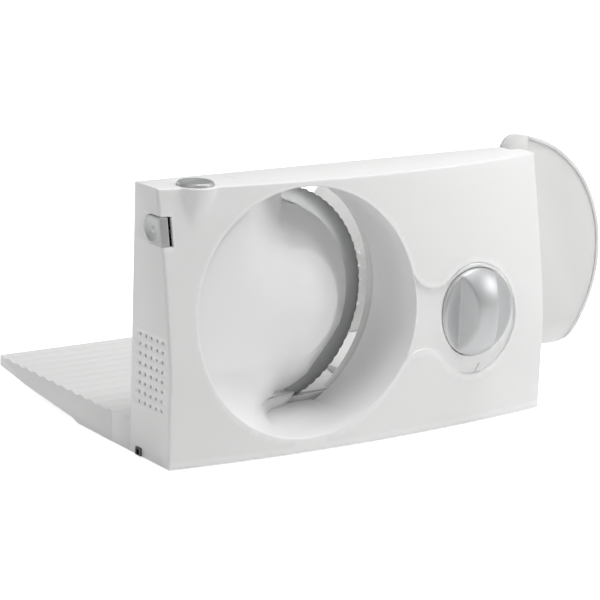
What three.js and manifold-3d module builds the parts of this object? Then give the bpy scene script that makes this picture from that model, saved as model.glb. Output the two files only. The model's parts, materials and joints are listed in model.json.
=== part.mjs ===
// Electric food slicer: an upright motor housing with a round well, a serrated blade, a stop plate
// set by a knob, and on the food side a ribbed table with a sliding carriage and a remnant holder.
// Millimetres, +Z up. X runs along the housing, +Y points to the food side, Z starts at the worktop.
import * as THREE from "three";
import { mergeVertices } from "three/addons/utils/BufferGeometryUtils.js";
import Module from "manifold-3d";

const wasm = await Module();
wasm.setup();

// General values
const fullTurn = 2 * Math.PI;
const quarterTurn = Math.PI / 2;
const weld = 0.001;
const overrun = 6;
const seat = 0.3;
const running = 0.4;
const sides = { tiny: 8, small: 12, pin: 16, plain: 20, round: 32, fine: 40, large: 48, rim: 64 };

// Housing
const body = { length: 340, top: 199, bottom: 1, depth: 53.3, wall: 2.5, edge: 3 };
// Places counted back from the housing's right end
const fromRight = { knob: 75, stopCenter: 3, stopShoulder: 9, screw: 14, carriage: 4 };
const face = { lean: 22.9, leanStartShare: 0.35, leanCurveShare: 1.25, crownFoot: 11.8, crownTop: 20.8 };

// Blade, its well and the guard that covers its drive
const blade = {
  x: 113.5, z: 103, near: 51, radius: 85, thickness: 1.2, waveDepth: 0.9, waves: 72, stepsPerWave: 3,
  ground: 2, groundShare: 0.375,
};
const well = { radius: 91.5, wall: 1.8, end: 43, flange: 4, flangeThickness: 1.8, reachShare: 0.97 };
const guard = {
  arcShift: 5.6, arcRadius: 73.2, footX: 131.2, footZ: 20.7, slopeShare: 1.2465, topX: 119.8,
  thickness: 2.2, lip: 2, roll: 22, rollWidth: 30, rollCurveShare: 1.5, rimDrop: 3,
  fadeHeight: 60, fadeLeastShare: 0.15,
};

// Rear panel, with a tray that the stop plate sinks into
const panel = { near: 47, thickness: 2.5 };
const tray = { floor: 40.2, margin: 1, sleeve: 2, sleeveLength: 13 };

// Stop plate
const stop = {
  near: 52.2, thickness: 2.2, travel: 10, ring: 94.7, collar: 2, collarNear: 39, collarLowShare: -0.146,
  centerX: body.length - fromRight.stopCenter, centerZ: 105.5, radius: 102.6, bottom: 33.5, top: 195.4,
  shoulderX: body.length - fromRight.stopShoulder,
  shoulderRadius: 12, footRadius: 26, padDepth: 1.4, padWidth: 26, padLow: 191,
  rimWidth: 2.6, rimDepth: 0.8, hub: 9, hubNear: 24, bore: 4.9,
};
const guidePin = { radius: 4, stub: 3, near: 22, above: 62, below: 43 };

// Thickness knob and its threaded spindle
const knob = {
  x: body.length - fromRight.knob, z: 88, radius: 33.5, base: -2, rim: -10.5, dome: 14.5,
  pocketFloor: -1.5, pocketGap: 0.7,
  ridge: 8.2, valley: 17, valleyY: -10.3, scoopRimY: -13.3, spread: 1.5, turnShare: 330 / 360,
};
const recess = { x: knob.x, z: 82.5, radius: 42.7, fillet: 24, depth: 1.8, backing: 4.4, border: 3 };
const spindle = {
  radius: 4.4, crest: 5.7, far: 41.5, threadNear: 16, threadFar: 36, flange: 9,
  flangeThickness: 2, rootHalf: 2, crestHalf: 1.2, hole: 5,
};

// Worm drive
const wheel = {
  teeth: 40, radius: 40, addendum: 1.2, dedendum: 1.4, rootShare: 0.26, tipShare: 0.14,
  near: 23, width: 8, rim: 4, web: 3, hub: 14, hubFar: 50.7, bore: 4.2,
};
const worm = {
  radius: 5,
  crest: 6,
  root: 3.4,
  rootHalf: 1.5,
  crestHalf: 0.7,
  half: 10,
  shaft: 2.5,
  shaftEnd: 17.5,
};
const motor = { radius: 17, bottom: 12, top: 65, collar: 8, collarHeight: 4, shaftDepth: 8, bore: 2.9 };
const cradle = { wall: 2, top: 24, hole: 8 };
const axle = { radius: 4, near: 17.2, far: 46.5, head: 7, headThickness: 2.5, headSides: 6 };
const lock = {
  radius: 14,
  thickness: 4,
  stub: 7.5,
  stubDepth: 3.5,
  slotWidth: 3,
  slotDepth: 2,
  chamfer: 1.5,
};
const carrier = {
  near: 17.5, thickness: 3, hub: 12, hubFar: 22.5, arm: 6, reach: 40, boss: 5,
  armShares: [0.389, 0.611, 0.944], lugShare: 0.453, lugReach: 52, lugFar: 32, lugLow: 12, lugHigh: 16,
  lugInner: 4.8, lugOuter: 7.5,
};
const carrierScrew = { radius: 1.6, head: 3, headHeight: 1.8, depth: 2 };
const shellScrew = { radius: 1.6, head: 3, headHeight: 1.6, depth: 12, boss: 4.5 };
const shellScrewPlaces = {
  left: 12, right: body.length - fromRight.screw, middle: 200, low: 15, high: 188,
};

// Push buttons with their springs and switches
const topButton = {
  x: 32.5, y: 25.7, radius: 13.4, gap: 0.5, proud: 2.6, rim: 2, dish: 1.2, chamfer: 0.8,
  depth: 7.6, stem: 3, stemLength: 6, travel: 3,
};
const boss = { radiusTop: 16.5, radiusFoot: 13.8, footZ: 176, footX: 28, blend: 5 };
const sideButton = {
  bottom: 159, top: 180, back: 40.5, slot: 8, inner: 5.2, proud: 1, gap: 0.5, flange: 1.5,
  flangeThickness: 1.8, stem: 3, stemY: 28.7, stemZ: 165, stemEnd: 16.5, dish: 9, dishDepth: 1.5,
};
const bracket = { near: 19, left: 22, right: 45, drop: 12, thickness: 2, height: 27, hole: 2.6 };
const microswitch = { width: 13, depth: 10, height: 7.5, plunger: 1.6, reach: 4.7 };
const spring = { wire: 0.5, radius: 4.6, curls: 5, stepsPerCurl: 8, sides: 5 };

// Vents and cord outlet in the left end
const vent = { radius: 1.4, columns: 5, rows: 8, y: 11.7, pitchY: 7.5, z: 41.3, pitchZ: 7.1, sides: 6 };
const outlet = { near: 37, far: 45, top: 7 };
const gland = { proud: 1, length: 14, flange: 1.6, flangeThickness: 2, cord: 2.2 };

// Base and feet
const bar = { depth: 25.7, top: 24.6, wall: 2.5, padWidth: 22, padInset: 14 };
const floor = { thickness: 2.5, padRadius: 11, padTop: 6 };
const foot = { radius: 8, height: 3, chamfer: 0.6, frontY: 12, inset: 25 };

// Ribbed table and its fold
const table = {
  depth: 172.4, ribs: 12, ribDepth: 1.8, ribSteps: 6, skin: 3, wall: 2.5, bottom: 0.8,
  edgeZ: 15.9, bendY: 208, bendZ: 9.9, footY: 138, footZ: 3.6, footNearY: 129, footNearZ: 1.2,
  railDepth: 10, railLow: 14,
};
const runner = { width: 11, inset: 9, near: 82, far: 130, curve: 10, pad: 2, padInset: 2 };
const hinge = { barrel: 3.7, ear: 3.4, pin: 1.5, pinGap: 0.3, width: 18, inset: 40, overhang: 8 };

// Food carriage and remnant holder
const carriage = {
  left: 206,
  right: body.length - fromRight.carriage,
  near: 84.2,
  far: 240,
  top: 28.5,
  fence: 3.5,
  fenceTop: 118,
  fenceNear: 125,
  fenceFoot: 60,
  corner: 10,
};
const holder = {
  y: 170, left: 238, thickness: 3, top: 157, corner: 16, floorGap: 1, saddleLength: 64, saddleWall: 3,
  saddleLow: 96, gripDepth: 32, gripWidth: 7, gripLow: 62, gripHigh: 146, gripWall: 7, gripCorner: 12,
};
const spike = {
  radius: 1.5,
  length: 5,
  left: 252,
  right: 318,
  low: 52.5,
  high: 94.5,
  rows: 5,
  columns: 7,
  sides: 6,
};

// Places that several pieces share
const plateFar = stop.near + stop.thickness;
const panelFar = panel.near + panel.thickness;
const coverBack = panel.near - seat;
const barNear = body.depth + seat;
const barFar = barNear + bar.depth;
const floorTop = body.bottom + floor.thickness;
const tableNear = barFar + seat;
const tableFar = tableNear + table.depth;
const hingeY = tableNear + hinge.barrel;
const hingeZ = bar.top - hinge.barrel;
const wormX = blade.x - wheel.radius - worm.radius;
const wormY = wheel.near + wheel.width / 2;
const wormLead = (fullTurn * wheel.radius) / wheel.teeth;
const screwLead = stop.travel / knob.turnShare;
const buttonCrown = body.top + topButton.proud;
const buttonSkirt = buttonCrown - topButton.depth;
const bracketTop = buttonSkirt - bracket.drop;
const lockNear = blade.near + blade.thickness + seat;
const carrierFar = carrier.near + carrier.thickness;
const plateGuides = [
  { x: knob.x, z: knob.z, radius: stop.hub },
  { x: knob.x, z: knob.z + guidePin.above, radius: guidePin.radius },
  { x: knob.x, z: knob.z - guidePin.below, radius: guidePin.radius },
];
const shellScrews = [
  [shellScrewPlaces.left, shellScrewPlaces.low],
  [shellScrewPlaces.left, shellScrewPlaces.high],
  [shellScrewPlaces.middle, shellScrewPlaces.low],
  [shellScrewPlaces.right, shellScrewPlaces.low],
];
const carrierScrews = carrier.armShares.map((share) => [
  blade.x + carrier.reach * Math.cos(share * fullTurn),
  blade.z + carrier.reach * Math.sin(share * fullTurn),
]);

// Turns a closed geometry into a solid
function solid(geometry) {
  const bare = geometry.clone();
  bare.deleteAttribute("normal");
  bare.deleteAttribute("uv");
  const merged = mergeVertices(bare, weld);
  return new wasm.Manifold(
    new wasm.Mesh({
      numProp: 3,
      vertProperties: merged.attributes.position.array,
      triVerts: new Uint32Array(merged.index.array),
    }),
  );
}

function join(list) {
  return list.reduce((whole, next) => whole.add(next));
}

function cut(whole, list) {
  return list.reduce((left, next) => left.subtract(next), whole);
}

// A box between two corners
function block(x0, x1, y0, y1, z0, z1) {
  const box = new THREE.BoxGeometry(x1 - x0, y1 - y0, z1 - z0);
  return solid(box.translate((x0 + x1) / 2, (y0 + y1) / 2, (z0 + z1) / 2));
}

// Round bars along each axis; one along Y may taper
function rodY(x, z, radius, y0, y1, count = sides.plain, farRadius = radius) {
  const rod = new THREE.CylinderGeometry(farRadius, radius, y1 - y0, count);
  return solid(rod.translate(x, (y0 + y1) / 2, z));
}

function rodX(y, z, radius, x0, x1, count = sides.plain) {
  const rod = new THREE.CylinderGeometry(radius, radius, x1 - x0, count);
  return solid(rod.rotateZ(-quarterTurn).translate((x0 + x1) / 2, y, z));
}

function rodZ(x, y, radius, z0, z1, count = sides.plain) {
  const rod = new THREE.CylinderGeometry(radius, radius, z1 - z0, count);
  return solid(rod.rotateX(quarterTurn).translate(x, y, (z0 + z1) / 2));
}

// An upright outline in X and Z, extruded from y0 to y1
function sheet(outline, y0, y1, curveSegments = 11) {
  const slab = new THREE.ExtrudeGeometry(outline, { depth: y1 - y0, bevelEnabled: false, curveSegments });
  return solid(slab.rotateX(quarterTurn).translate(0, y1, 0));
}

// A section in Y and Z, extruded from x0 to x1
function beam(section, x0, x1, curveSegments = 10) {
  const long = new THREE.ExtrudeGeometry(section, { depth: x1 - x0, bevelEnabled: false, curveSegments });
  const axes = new THREE.Matrix4().makeBasis(
    new THREE.Vector3(0, 1, 0),
    new THREE.Vector3(0, 0, 1),
    new THREE.Vector3(1, 0, 0),
  );
  return solid(long.applyMatrix4(axes).translate(x0, 0, 0));
}

// A flat outline in X and Y, extruded from z0 to z1
function slabOf(outline, z0, z1) {
  const slab = new THREE.ExtrudeGeometry(outline, { depth: z1 - z0, bevelEnabled: false });
  return solid(slab.translate(0, 0, z0));
}

function shapeOf(points) {
  return new THREE.Shape(points.map(([a, b]) => new THREE.Vector2(a, b)));
}

// A profile of radius and height, drawn from its foot up, turned about Z
function turnedZ(profile, count) {
  const points = profile.map(([radius, height]) => new THREE.Vector2(radius, height));
  return new THREE.LatheGeometry(points, count).rotateX(quarterTurn);
}

// A solid between two surfaces y = near(x, z) and y = far(x, z) over a grid of places
function layered(rows, columns, place, near, far) {
  const positions = [];
  const triangles = [];
  const width = columns.length;
  for (const surface of [near, far]) {
    for (const v of rows) {
      for (const u of columns) {
        const [x, z] = place(u, v);
        positions.push(x, surface(x, z), z);
      }
    }
  }
  const back = rows.length * width;
  const quad = (a, b, c, d) => triangles.push(a, b, c, a, c, d);
  for (let j = 0; j + 1 < rows.length; j += 1) {
    for (let i = 0; i + 1 < width; i += 1) {
      const a = j * width + i;
      quad(a, a + 1, a + width + 1, a + width);
      quad(back + a, back + a + width, back + a + width + 1, back + a + 1);
    }
    const left = j * width;
    const right = left + width - 1;
    quad(left, left + width, back + left + width, back + left);
    quad(right, back + right, back + right + width, right + width);
  }
  for (let i = 0; i + 1 < width; i += 1) {
    const top = back - width + i;
    quad(i, back + i, back + i + 1, i + 1);
    quad(top, top + 1, back + top + 1, back + top);
  }
  const geometry = new THREE.BufferGeometry();
  geometry.setAttribute("position", new THREE.Float32BufferAttribute(positions, 3));
  geometry.setIndex(triangles);
  return solid(geometry);
}

// Evenly spaced values from one end to the other
function spaced(from, to, steps) {
  return Array.from({ length: steps + 1 }, (unused, i) => from + ((to - from) * i) / steps);
}

// A helical thread about Z, whose middle passes angle 0 at height 0
function threadAbout(size) {
  const { root, crest, rootHalf, crestHalf, pitch, low, high, stepsPerTurn } = size;
  const section = [[root, -rootHalf], [crest, -crestHalf], [crest, crestHalf], [root, rootHalf]];
  const first = (low / pitch) * fullTurn;
  const last = (high / pitch) * fullTurn;
  const steps = Math.ceil(((last - first) / fullTurn) * stepsPerTurn);
  const positions = [];
  const triangles = [];
  for (const angle of spaced(first, last, steps)) {
    for (const [radius, offset] of section) {
      const climb = (angle / fullTurn) * pitch;
      positions.push(radius * Math.cos(angle), radius * Math.sin(angle), climb + offset);
    }
  }
  const corners = section.length;
  for (let i = 0; i < steps; i += 1) {
    for (let k = 0; k < corners; k += 1) {
      const a = i * corners + k;
      const b = i * corners + ((k + 1) % corners);
      triangles.push(a, a + corners, b + corners, a, b + corners, b);
    }
  }
  const end = steps * corners;
  triangles.push(0, 1, 2, 0, 2, 3, end, end + 2, end + 1, end, end + 3, end + 2);
  const geometry = new THREE.BufferGeometry();
  geometry.setAttribute("position", new THREE.Float32BufferAttribute(positions, 3));
  geometry.setIndex(triangles);
  return geometry;
}

// The line of a coil about Z that rises from its own wire's radius to the given length
class Helix extends THREE.Curve {
  constructor(length) {
    super();
    this.length = length;
  }

  getPoint(share) {
    const angle = share * spring.curls * fullTurn;
    const rise = spring.wire + share * (this.length - 2 * spring.wire);
    return new THREE.Vector3(spring.radius * Math.cos(angle), spring.radius * Math.sin(angle), rise);
  }
}

function coil(length) {
  const ring = shapeOf(spaced(0, fullTurn, spring.sides).slice(0, -1).map((angle) => [
    spring.wire * Math.cos(angle),
    spring.wire * Math.sin(angle),
  ]));
  const steps = spring.curls * spring.stepsPerCurl;
  return new THREE.ExtrudeGeometry(ring, { steps, extrudePath: new Helix(length) });
}

// Housing surfaces
function frontAt(x, z) {
  const along = (2 * x - body.length) / body.length;
  const up = z / body.top;
  const start = face.leanStartShare;
  const lean = face.lean * Math.max(0, (up - start) / (1 - start)) ** face.leanCurveShare;
  const crown = face.crownFoot + (face.crownTop - face.crownFoot) * up;
  return lean - crown * (1 - along * along);
}

// The round boss of the top button, as a leaning cone
function bossAt(x, z) {
  const up = (z - boss.footZ) / (body.top - boss.footZ);
  const radius = boss.radiusFoot + (boss.radiusTop - boss.radiusFoot) * up;
  const off = Math.abs(x - (boss.footX + (topButton.x - boss.footX) * up));
  return off < radius ? topButton.y - Math.sqrt(radius ** 2 - off ** 2) : topButton.y + 2 * (off - radius);
}

function blended(first, second, width) {
  const share = Math.max(width - Math.abs(first - second), 0) / width;
  return Math.min(first, second) - (share * share * width) / 4;
}

function outerAt(x, z) {
  const toEdge = Math.min(x, body.length - x, body.top - z);
  const inside = Math.max(body.edge - toEdge, 0);
  const round = body.edge - Math.sqrt(Math.max(body.edge ** 2 - inside ** 2, 0));
  return blended(frontAt(x, z), bossAt(x, z), boss.blend) + round;
}

const edgeShares = [0, 0.25, 1];
const straight = (x, z) => [x, z];

// The housing's outer form, finer at its rounded edges and at the boss
function outerForm() {
  const bossRight = topButton.x + boss.radiusTop + 2 * boss.blend;
  const bossLow = boss.footZ - 2 * boss.blend;
  const columns = [
    ...edgeShares.map((share) => share * body.edge),
    ...spaced(body.edge, bossRight, 11).slice(1),
    ...spaced(bossRight, body.length - body.edge, 8).slice(1),
    ...edgeShares.slice(0, -1).reverse().map((share) => body.length - share * body.edge),
  ];
  const rows = [
    ...spaced(body.bottom, bossLow, 7),
    ...spaced(bossLow, body.top - body.edge, 6).slice(1),
    ...edgeShares.slice(0, -1).reverse().map((share) => body.top - share * body.edge),
  ];
  return layered(rows, columns, straight, outerAt, () => body.depth);
}

// The space between the front surface sunk by two depths
function skinBetween(nearDepth, farDepth, left = -overrun, right = body.length + overrun) {
  const rows = spaced(-overrun, body.top + overrun, 7);
  const columns = spaced(left, right, 9);
  const nearFace = (x, z) => frontAt(x, z) + nearDepth;
  const farFace = (x, z) => frontAt(x, z) + farDepth;
  return layered(rows, columns, straight, nearFace, farFace);
}

function cavityForm() {
  const rows = spaced(-overrun, body.top - body.wall, 7);
  const columns = spaced(body.wall, body.length - body.wall, 9);
  const near = (x, z) => frontAt(x, z) + body.wall;
  return layered(rows, columns, straight, near, () => body.depth + overrun);
}

// The fillet circle that touches two circles from outside, on one side of their line
function filletBetween(a, radiusA, b, radiusB, fillet, side) {
  const span = Math.hypot(b.x - a.x, b.z - a.z);
  const reachA = radiusA + fillet;
  const reachB = radiusB + fillet;
  const along = (reachA ** 2 - reachB ** 2 + span ** 2) / (2 * span);
  const across = side * Math.sqrt(reachA ** 2 - along ** 2);
  const ux = (b.x - a.x) / span;
  const uz = (b.z - a.z) / span;
  return { x: a.x + ux * along - uz * across, z: a.z + uz * along + ux * across };
}

const angleTo = (from, to) => Math.atan2(to.z - from.z, to.x - from.x);

// Outline of the knob recess with its neck to the well
function recessOutline(grow) {
  const upper = filletBetween(blade, well.radius, recess, recess.radius, recess.fillet, 1);
  const lower = filletBetween(blade, well.radius, recess, recess.radius, recess.fillet, -1);
  const outline = new THREE.Shape();
  const fillet = recess.fillet - grow;
  outline.moveTo(blade.x, blade.z);
  outline.absarc(lower.x, lower.z, fillet, angleTo(lower, blade), angleTo(lower, recess), true);
  const radius = recess.radius + grow;
  outline.absarc(recess.x, recess.z, radius, angleTo(recess, lower), angleTo(recess, upper), false);
  outline.absarc(upper.x, upper.z, fillet, angleTo(upper, recess), angleTo(upper, blade), true);
  outline.lineTo(blade.x, blade.z);
  return outline;
}

// Outline of the stop plate, grown by a margin for the tray that it sinks into
function stopOutline(grow) {
  const ring = stop.ring - grow;
  const low = stop.bottom - grow;
  const high = stop.top + grow;
  const shoulderX = stop.shoulderX - grow;
  const outer = stop.radius + grow;
  const shoulder = stop.shoulderRadius + grow;
  const corner = stop.footRadius + grow;
  const middle = { x: stop.centerX, z: stop.centerZ };
  const shoulderAt = { x: shoulderX + shoulder, z: 0 };
  shoulderAt.z = middle.z + Math.sqrt((outer - shoulder) ** 2 - (shoulderAt.x - middle.x) ** 2);
  const cornerAt = { x: 0, z: low + corner };
  cornerAt.x = middle.x + Math.sqrt((outer - corner) ** 2 - (cornerAt.z - middle.z) ** 2);
  const ringLow = Math.asin((low - blade.z) / ring);
  const ringHigh = Math.asin(Math.min((high - blade.z) / ring, 1));
  const outline = new THREE.Shape();
  outline.absarc(blade.x, blade.z, ring, ringLow, ringHigh, false);
  outline.lineTo(blade.x + ring * Math.cos(ringHigh), high);
  outline.lineTo(shoulderX, high);
  outline.absarc(shoulderAt.x, shoulderAt.z, shoulder, Math.PI, angleTo(middle, shoulderAt), true);
  outline.absarc(middle.x, middle.z, outer, angleTo(middle, shoulderAt), angleTo(middle, cornerAt), true);
  outline.absarc(cornerAt.x, cornerAt.z, corner, angleTo(middle, cornerAt), -quarterTurn, true);
  return outline;
}

// The opening of the side button: open to the front, half round at the back
function sideOutline(shrink) {
  const radius = (sideButton.top - sideButton.bottom) / 2;
  const middleZ = (sideButton.top + sideButton.bottom) / 2;
  const outline = new THREE.Shape();
  outline.moveTo(-overrun, middleZ - radius + shrink);
  outline.absarc(sideButton.back - radius, middleZ, radius - shrink, -quarterTurn, quarterTurn, false);
  outline.lineTo(-overrun, middleZ + radius - shrink);
  return outline;
}

// Front shell: a thin moulding, open at the back and below
function frontShell() {
  const everywhere = [-2 * body.depth, 2 * body.depth];
  const backing = sheet(recessOutline(recess.border), ...everywhere)
    .intersect(skinBetween(body.wall / 2, recess.backing, blade.x, body.length - body.wall));
  const pocketRadius = knob.radius + knob.pocketGap;
  const pocketBack = knob.pocketFloor + body.wall;
  const pocketWall = rodY(knob.x, knob.z, pocketRadius + body.wall, -body.depth, pocketBack, sides.fine)
    .intersect(skinBetween(body.wall / 2, body.depth));
  const recessTool = sheet(recessOutline(0), ...everywhere)
    .intersect(skinBetween(-body.depth, recess.depth));
  const bossSkin = skinBetween(body.wall / 2, 2 * body.depth);
  const screwBosses = shellScrews.map(([x, z]) =>
    rodY(x, z, shellScrew.boss, -body.depth, coverBack, sides.pin).intersect(bossSkin));
  const screwHoles = shellScrews.map(([x, z]) =>
    rodY(x, z, shellScrew.radius + seat, coverBack - shellScrew.depth, body.depth, sides.small));
  const vents = [];
  for (let column = 0; column < vent.columns; column += 1) {
    for (let row = 0; row < vent.rows; row += 1) {
      const y = vent.y + column * vent.pitchY;
      const z = vent.z + row * vent.pitchZ;
      vents.push(rodX(y, z, vent.radius, -overrun, body.wall + overrun, vent.sides));
    }
  }
  const hollow = outerForm().subtract(cavityForm());
  return cut(join([hollow, backing, pocketWall, ...screwBosses]), [
    recessTool,
    rodY(blade.x, blade.z, well.radius + well.wall + seat, -body.depth, body.depth + overrun, sides.rim),
    rodY(knob.x, knob.z, pocketRadius, -body.depth, knob.pocketFloor, sides.large),
    rodY(knob.x, knob.z, spindle.hole, -body.depth, body.depth),
    rodZ(topButton.x, topButton.y, topButton.radius + topButton.gap,
      buttonSkirt - topButton.travel - topButton.gap, body.top + overrun, sides.round),
    beam(sideOutline(0), -overrun, sideButton.slot),
    sheet(stopOutline(tray.margin), tray.floor, body.depth + overrun),
    block(-overrun, body.wall + overrun, outlet.near, outlet.far, -overrun, outlet.top),
    ...screwHoles,
    ...vents,
  ]);
}

// The guard's free edge in front of the blade, from the well's floor to its top
function guardEdge() {
  const arcX = blade.x - guard.arcShift;
  return spaced(blade.z - well.radius, blade.z + well.radius, 60).map((z) => {
    const line = guard.footX + (z - guard.footZ) / guard.slopeShare;
    const half = guard.arcRadius ** 2 - (z - blade.z) ** 2;
    const arc = half > 0 ? arcX + Math.sqrt(half) : guard.topX;
    return [z > blade.z ? Math.max(arc, guard.topX) : Math.min(half > 0 ? arc : line, line), z];
  });
}

const edgePoints = guardEdge();

function edgeAt(z) {
  const last = edgePoints.length - 1;
  const low = edgePoints[0][1];
  const share = THREE.MathUtils.clamp((z - low) / (edgePoints[last][1] - low), 0, 1) * last;
  const index = Math.min(Math.floor(share), last - 1);
  return THREE.MathUtils.lerp(edgePoints[index][0], edgePoints[index + 1][0], share - index);
}

function distanceToEdge(x, z) {
  let least = Infinity;
  for (let i = 0; i + 1 < edgePoints.length; i += 1) {
    const [ax, az] = edgePoints[i];
    const [bx, bz] = edgePoints[i + 1];
    const along = ((x - ax) * (bx - ax) + (z - az) * (bz - az)) / ((bx - ax) ** 2 + (bz - az) ** 2);
    const share = THREE.MathUtils.clamp(along, 0, 1);
    least = Math.min(least, Math.hypot(x - ax - share * (bx - ax), z - az - share * (bz - az)));
  }
  return least;
}

// The guard's face: a lip, a rolled shoulder, then a gentle slope up to the well's rim
function guardAt(x, z) {
  const toEdge = distanceToEdge(x, z);
  const toRim = Math.max(well.radius - Math.hypot(x - blade.x, z - blade.z), 0);
  const fade = THREE.MathUtils.clamp((z - guard.footZ) / guard.fadeHeight, guard.fadeLeastShare, 1);
  const inRoll = Math.min(toEdge / (guard.rollWidth * fade), 1);
  const rolled = guard.roll * fade * (1 - (1 - inRoll) ** guard.rollCurveShare);
  const band = coverBack - guard.lip - rolled;
  const rim = frontAt(x, z) + guard.rimDrop;
  return THREE.MathUtils.lerp(band, rim, toEdge / (toEdge + toRim + weld));
}

const guardShares = [0, 0.22, 0.42, 0.56, 0.67, 0.76, 0.84, 0.91, 0.965, 1];

// A patch of the well from its left rim, pushed outwards, to the guard's edge
function guardPatch(outward, near, far) {
  const radius = well.radius + outward;
  const place = (share, angle) => {
    const z = blade.z + radius * Math.sin(angle);
    const left = blade.x - radius * Math.cos(angle);
    return [THREE.MathUtils.lerp(left, Math.max(edgeAt(z), left + 2 * weld), share), z];
  };
  const reach = quarterTurn * well.reachShare;
  return layered(spaced(-reach, reach, 20), guardShares, place, near, far);
}

// Inner guard: the glossy wall of the well and the cover over gear and motor, in one moulding
function innerGuard() {
  const deep = [-2 * body.depth, 2 * body.depth];
  const outer = well.radius + well.wall;
  const room = rodY(blade.x, blade.z, well.radius, ...deep, sides.rim);
  const tube = rodY(blade.x, blade.z, outer, -body.depth, well.end, sides.rim)
    .subtract(room)
    .intersect(skinBetween(0, 2 * body.depth))
    .subtract(sheet(recessOutline(0), ...deep).intersect(skinBetween(-body.depth, recess.depth)));
  const flangeNear = body.wall + seat;
  const flange = rodY(blade.x, blade.z, outer + well.flange, -body.depth, body.depth, sides.rim)
    .subtract(room)
    .intersect(skinBetween(flangeNear, flangeNear + well.flangeThickness))
    .intersect(block(
      flangeNear,
      body.length,
      -body.depth,
      body.depth,
      floorTop + seat,
      body.top - flangeNear,
    ))
    .subtract(sheet(recessOutline(recess.border + seat), ...deep));
  const backAt = (x, z) => Math.min(guardAt(x, z) + guard.thickness, coverBack);
  const cover = guardPatch(well.wall / 2, guardAt, backAt);
  const under = guardPatch(well.wall + well.flange, backAt, () => body.depth);
  const posts = carrierScrews.map(([x, z]) =>
    rodY(x, z, carrier.boss, guardAt(x, z) + guard.thickness / 2, carrier.near - seat, sides.pin));
  const holeNear = carrier.near - carrierScrew.depth - seat;
  const holes = carrierScrews.map(([x, z]) =>
    rodY(x, z, carrierScrew.radius + seat, holeNear, carrierFar, sides.small));
  return cut(join([tube, flange]).subtract(under).add(cover).add(join(posts)), holes);
}

// Rear panel: flat behind the blade, with a tray for the stop plate and guides for its pins
function rearShell() {
  const left = body.wall + seat;
  const right = body.length - body.wall - seat;
  const low = floorTop + seat;
  const high = body.top - body.wall - seat;
  const flat = block(left, right, panel.near, panelFar, low, high);
  const trayNear = tray.floor - panel.thickness;
  const tub = sheet(stopOutline(tray.margin + panel.thickness), trayNear, panelFar)
    .intersect(block(left, right, 0, panelFar, low, high));
  const pocket = sheet(stopOutline(tray.margin), tray.floor, body.depth + overrun);
  const mouthRadius = stop.ring + stop.collar + running;
  const mouth = rodY(blade.x, blade.z, mouthRadius, 0, body.depth + overrun, sides.rim)
    .intersect(openRight());
  const sleeveNear = trayNear - tray.sleeveLength;
  const sleeves = plateGuides.map(({ x, z, radius }) =>
    rodY(x, z, radius + running + tray.sleeve, sleeveNear, tray.floor - panel.thickness / 2));
  const bores = plateGuides.map(({ x, z, radius }) =>
    rodY(x, z, radius + running, sleeveNear - overrun, body.depth));
  const hubHole = rodY(blade.x, blade.z, wheel.hub + running, 0, body.depth);
  const screwHoles = shellScrews.map(([x, z]) =>
    rodY(x, z, shellScrew.radius + seat, 0, body.depth, sides.small));
  return cut(join([flat, tub, ...sleeves]), [pocket, mouth, hubHole, ...bores, ...screwHoles]);
}

// Everything right of the guard's edge, above the base bar
function openRight() {
  const rows = spaced(bar.top, body.top + overrun, 24);
  const place = (share, z) => [THREE.MathUtils.lerp(edgeAt(z) - guard.lip, body.length, share), z];
  return layered(rows, [0, 1], place, () => 0, () => body.depth + overrun);
}

// Stop plate with its collar round the blade and its threaded hub
function stopPlate() {
  const outline = stopOutline(0);
  const plate = sheet(outline, stop.near, plateFar);
  const reach = 2 * stop.radius + stop.ring;
  const lowAngle = stop.collarLowShare * fullTurn;
  const highAngle = Math.asin((stop.top - blade.z) / stop.ring);
  const wedge = sheet(shapeOf([
    [blade.x, blade.z],
    [blade.x + reach * Math.cos(lowAngle), blade.z + reach * Math.sin(lowAngle)],
    [blade.x + reach, blade.z],
    [blade.x + reach * Math.cos(highAngle), blade.z + reach * Math.sin(highAngle)],
  ]), 0, body.depth + overrun);
  const collar = rodY(blade.x, blade.z, stop.ring + stop.collar, stop.collarNear, plateFar, sides.rim)
    .subtract(rodY(blade.x, blade.z, stop.ring, 0, body.depth + overrun, sides.rim))
    .intersect(wedge)
    .intersect(block(0, body.length, 0, plateFar, 0, stop.top));
  const inside = stop.near + stop.thickness / 2;
  const pad = sheet(outline, stop.near - stop.padDepth, inside).intersect(block(
    0, stop.shoulderX + stop.padWidth, 0, body.depth, stop.padLow, 2 * body.top,
  ));
  const rim = sheet(outline, stop.near - stop.rimDepth, inside)
    .subtract(rodY(stop.centerX, stop.centerZ, stop.radius - stop.rimWidth, 0, body.depth, sides.rim))
    .intersect(block(stop.shoulderX + stop.padWidth / 2, 2 * body.length, 0, body.depth, 0, 2 * body.top));
  const hub = rodY(knob.x, knob.z, stop.hub, stop.hubNear, inside);
  const bore = rodY(knob.x, knob.z, stop.bore, 0, stop.near - seat);
  const threadEnd = stop.near - stop.thickness;
  const groove = alongY(threadAbout(spindleThread(seat, stop.hubNear - overrun, threadEnd)),
    knob.x, knob.z);
  const pinHoles = plateGuides.slice(1).map(({ x, z }) =>
    rodY(x, z, guidePin.stub + seat, 0, body.depth + overrun, sides.pin));
  return cut(join([plate, collar, pad, rim, hub]), [bore, groove, ...pinHoles]);
}

function guideRod({ x, z }) {
  const shoulder = stop.near - seat;
  return rodY(x, z, guidePin.radius, guidePin.near, shoulder)
    .add(rodY(x, z, guidePin.stub, shoulder - weld, plateFar - seat, sides.pin));
}

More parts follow.
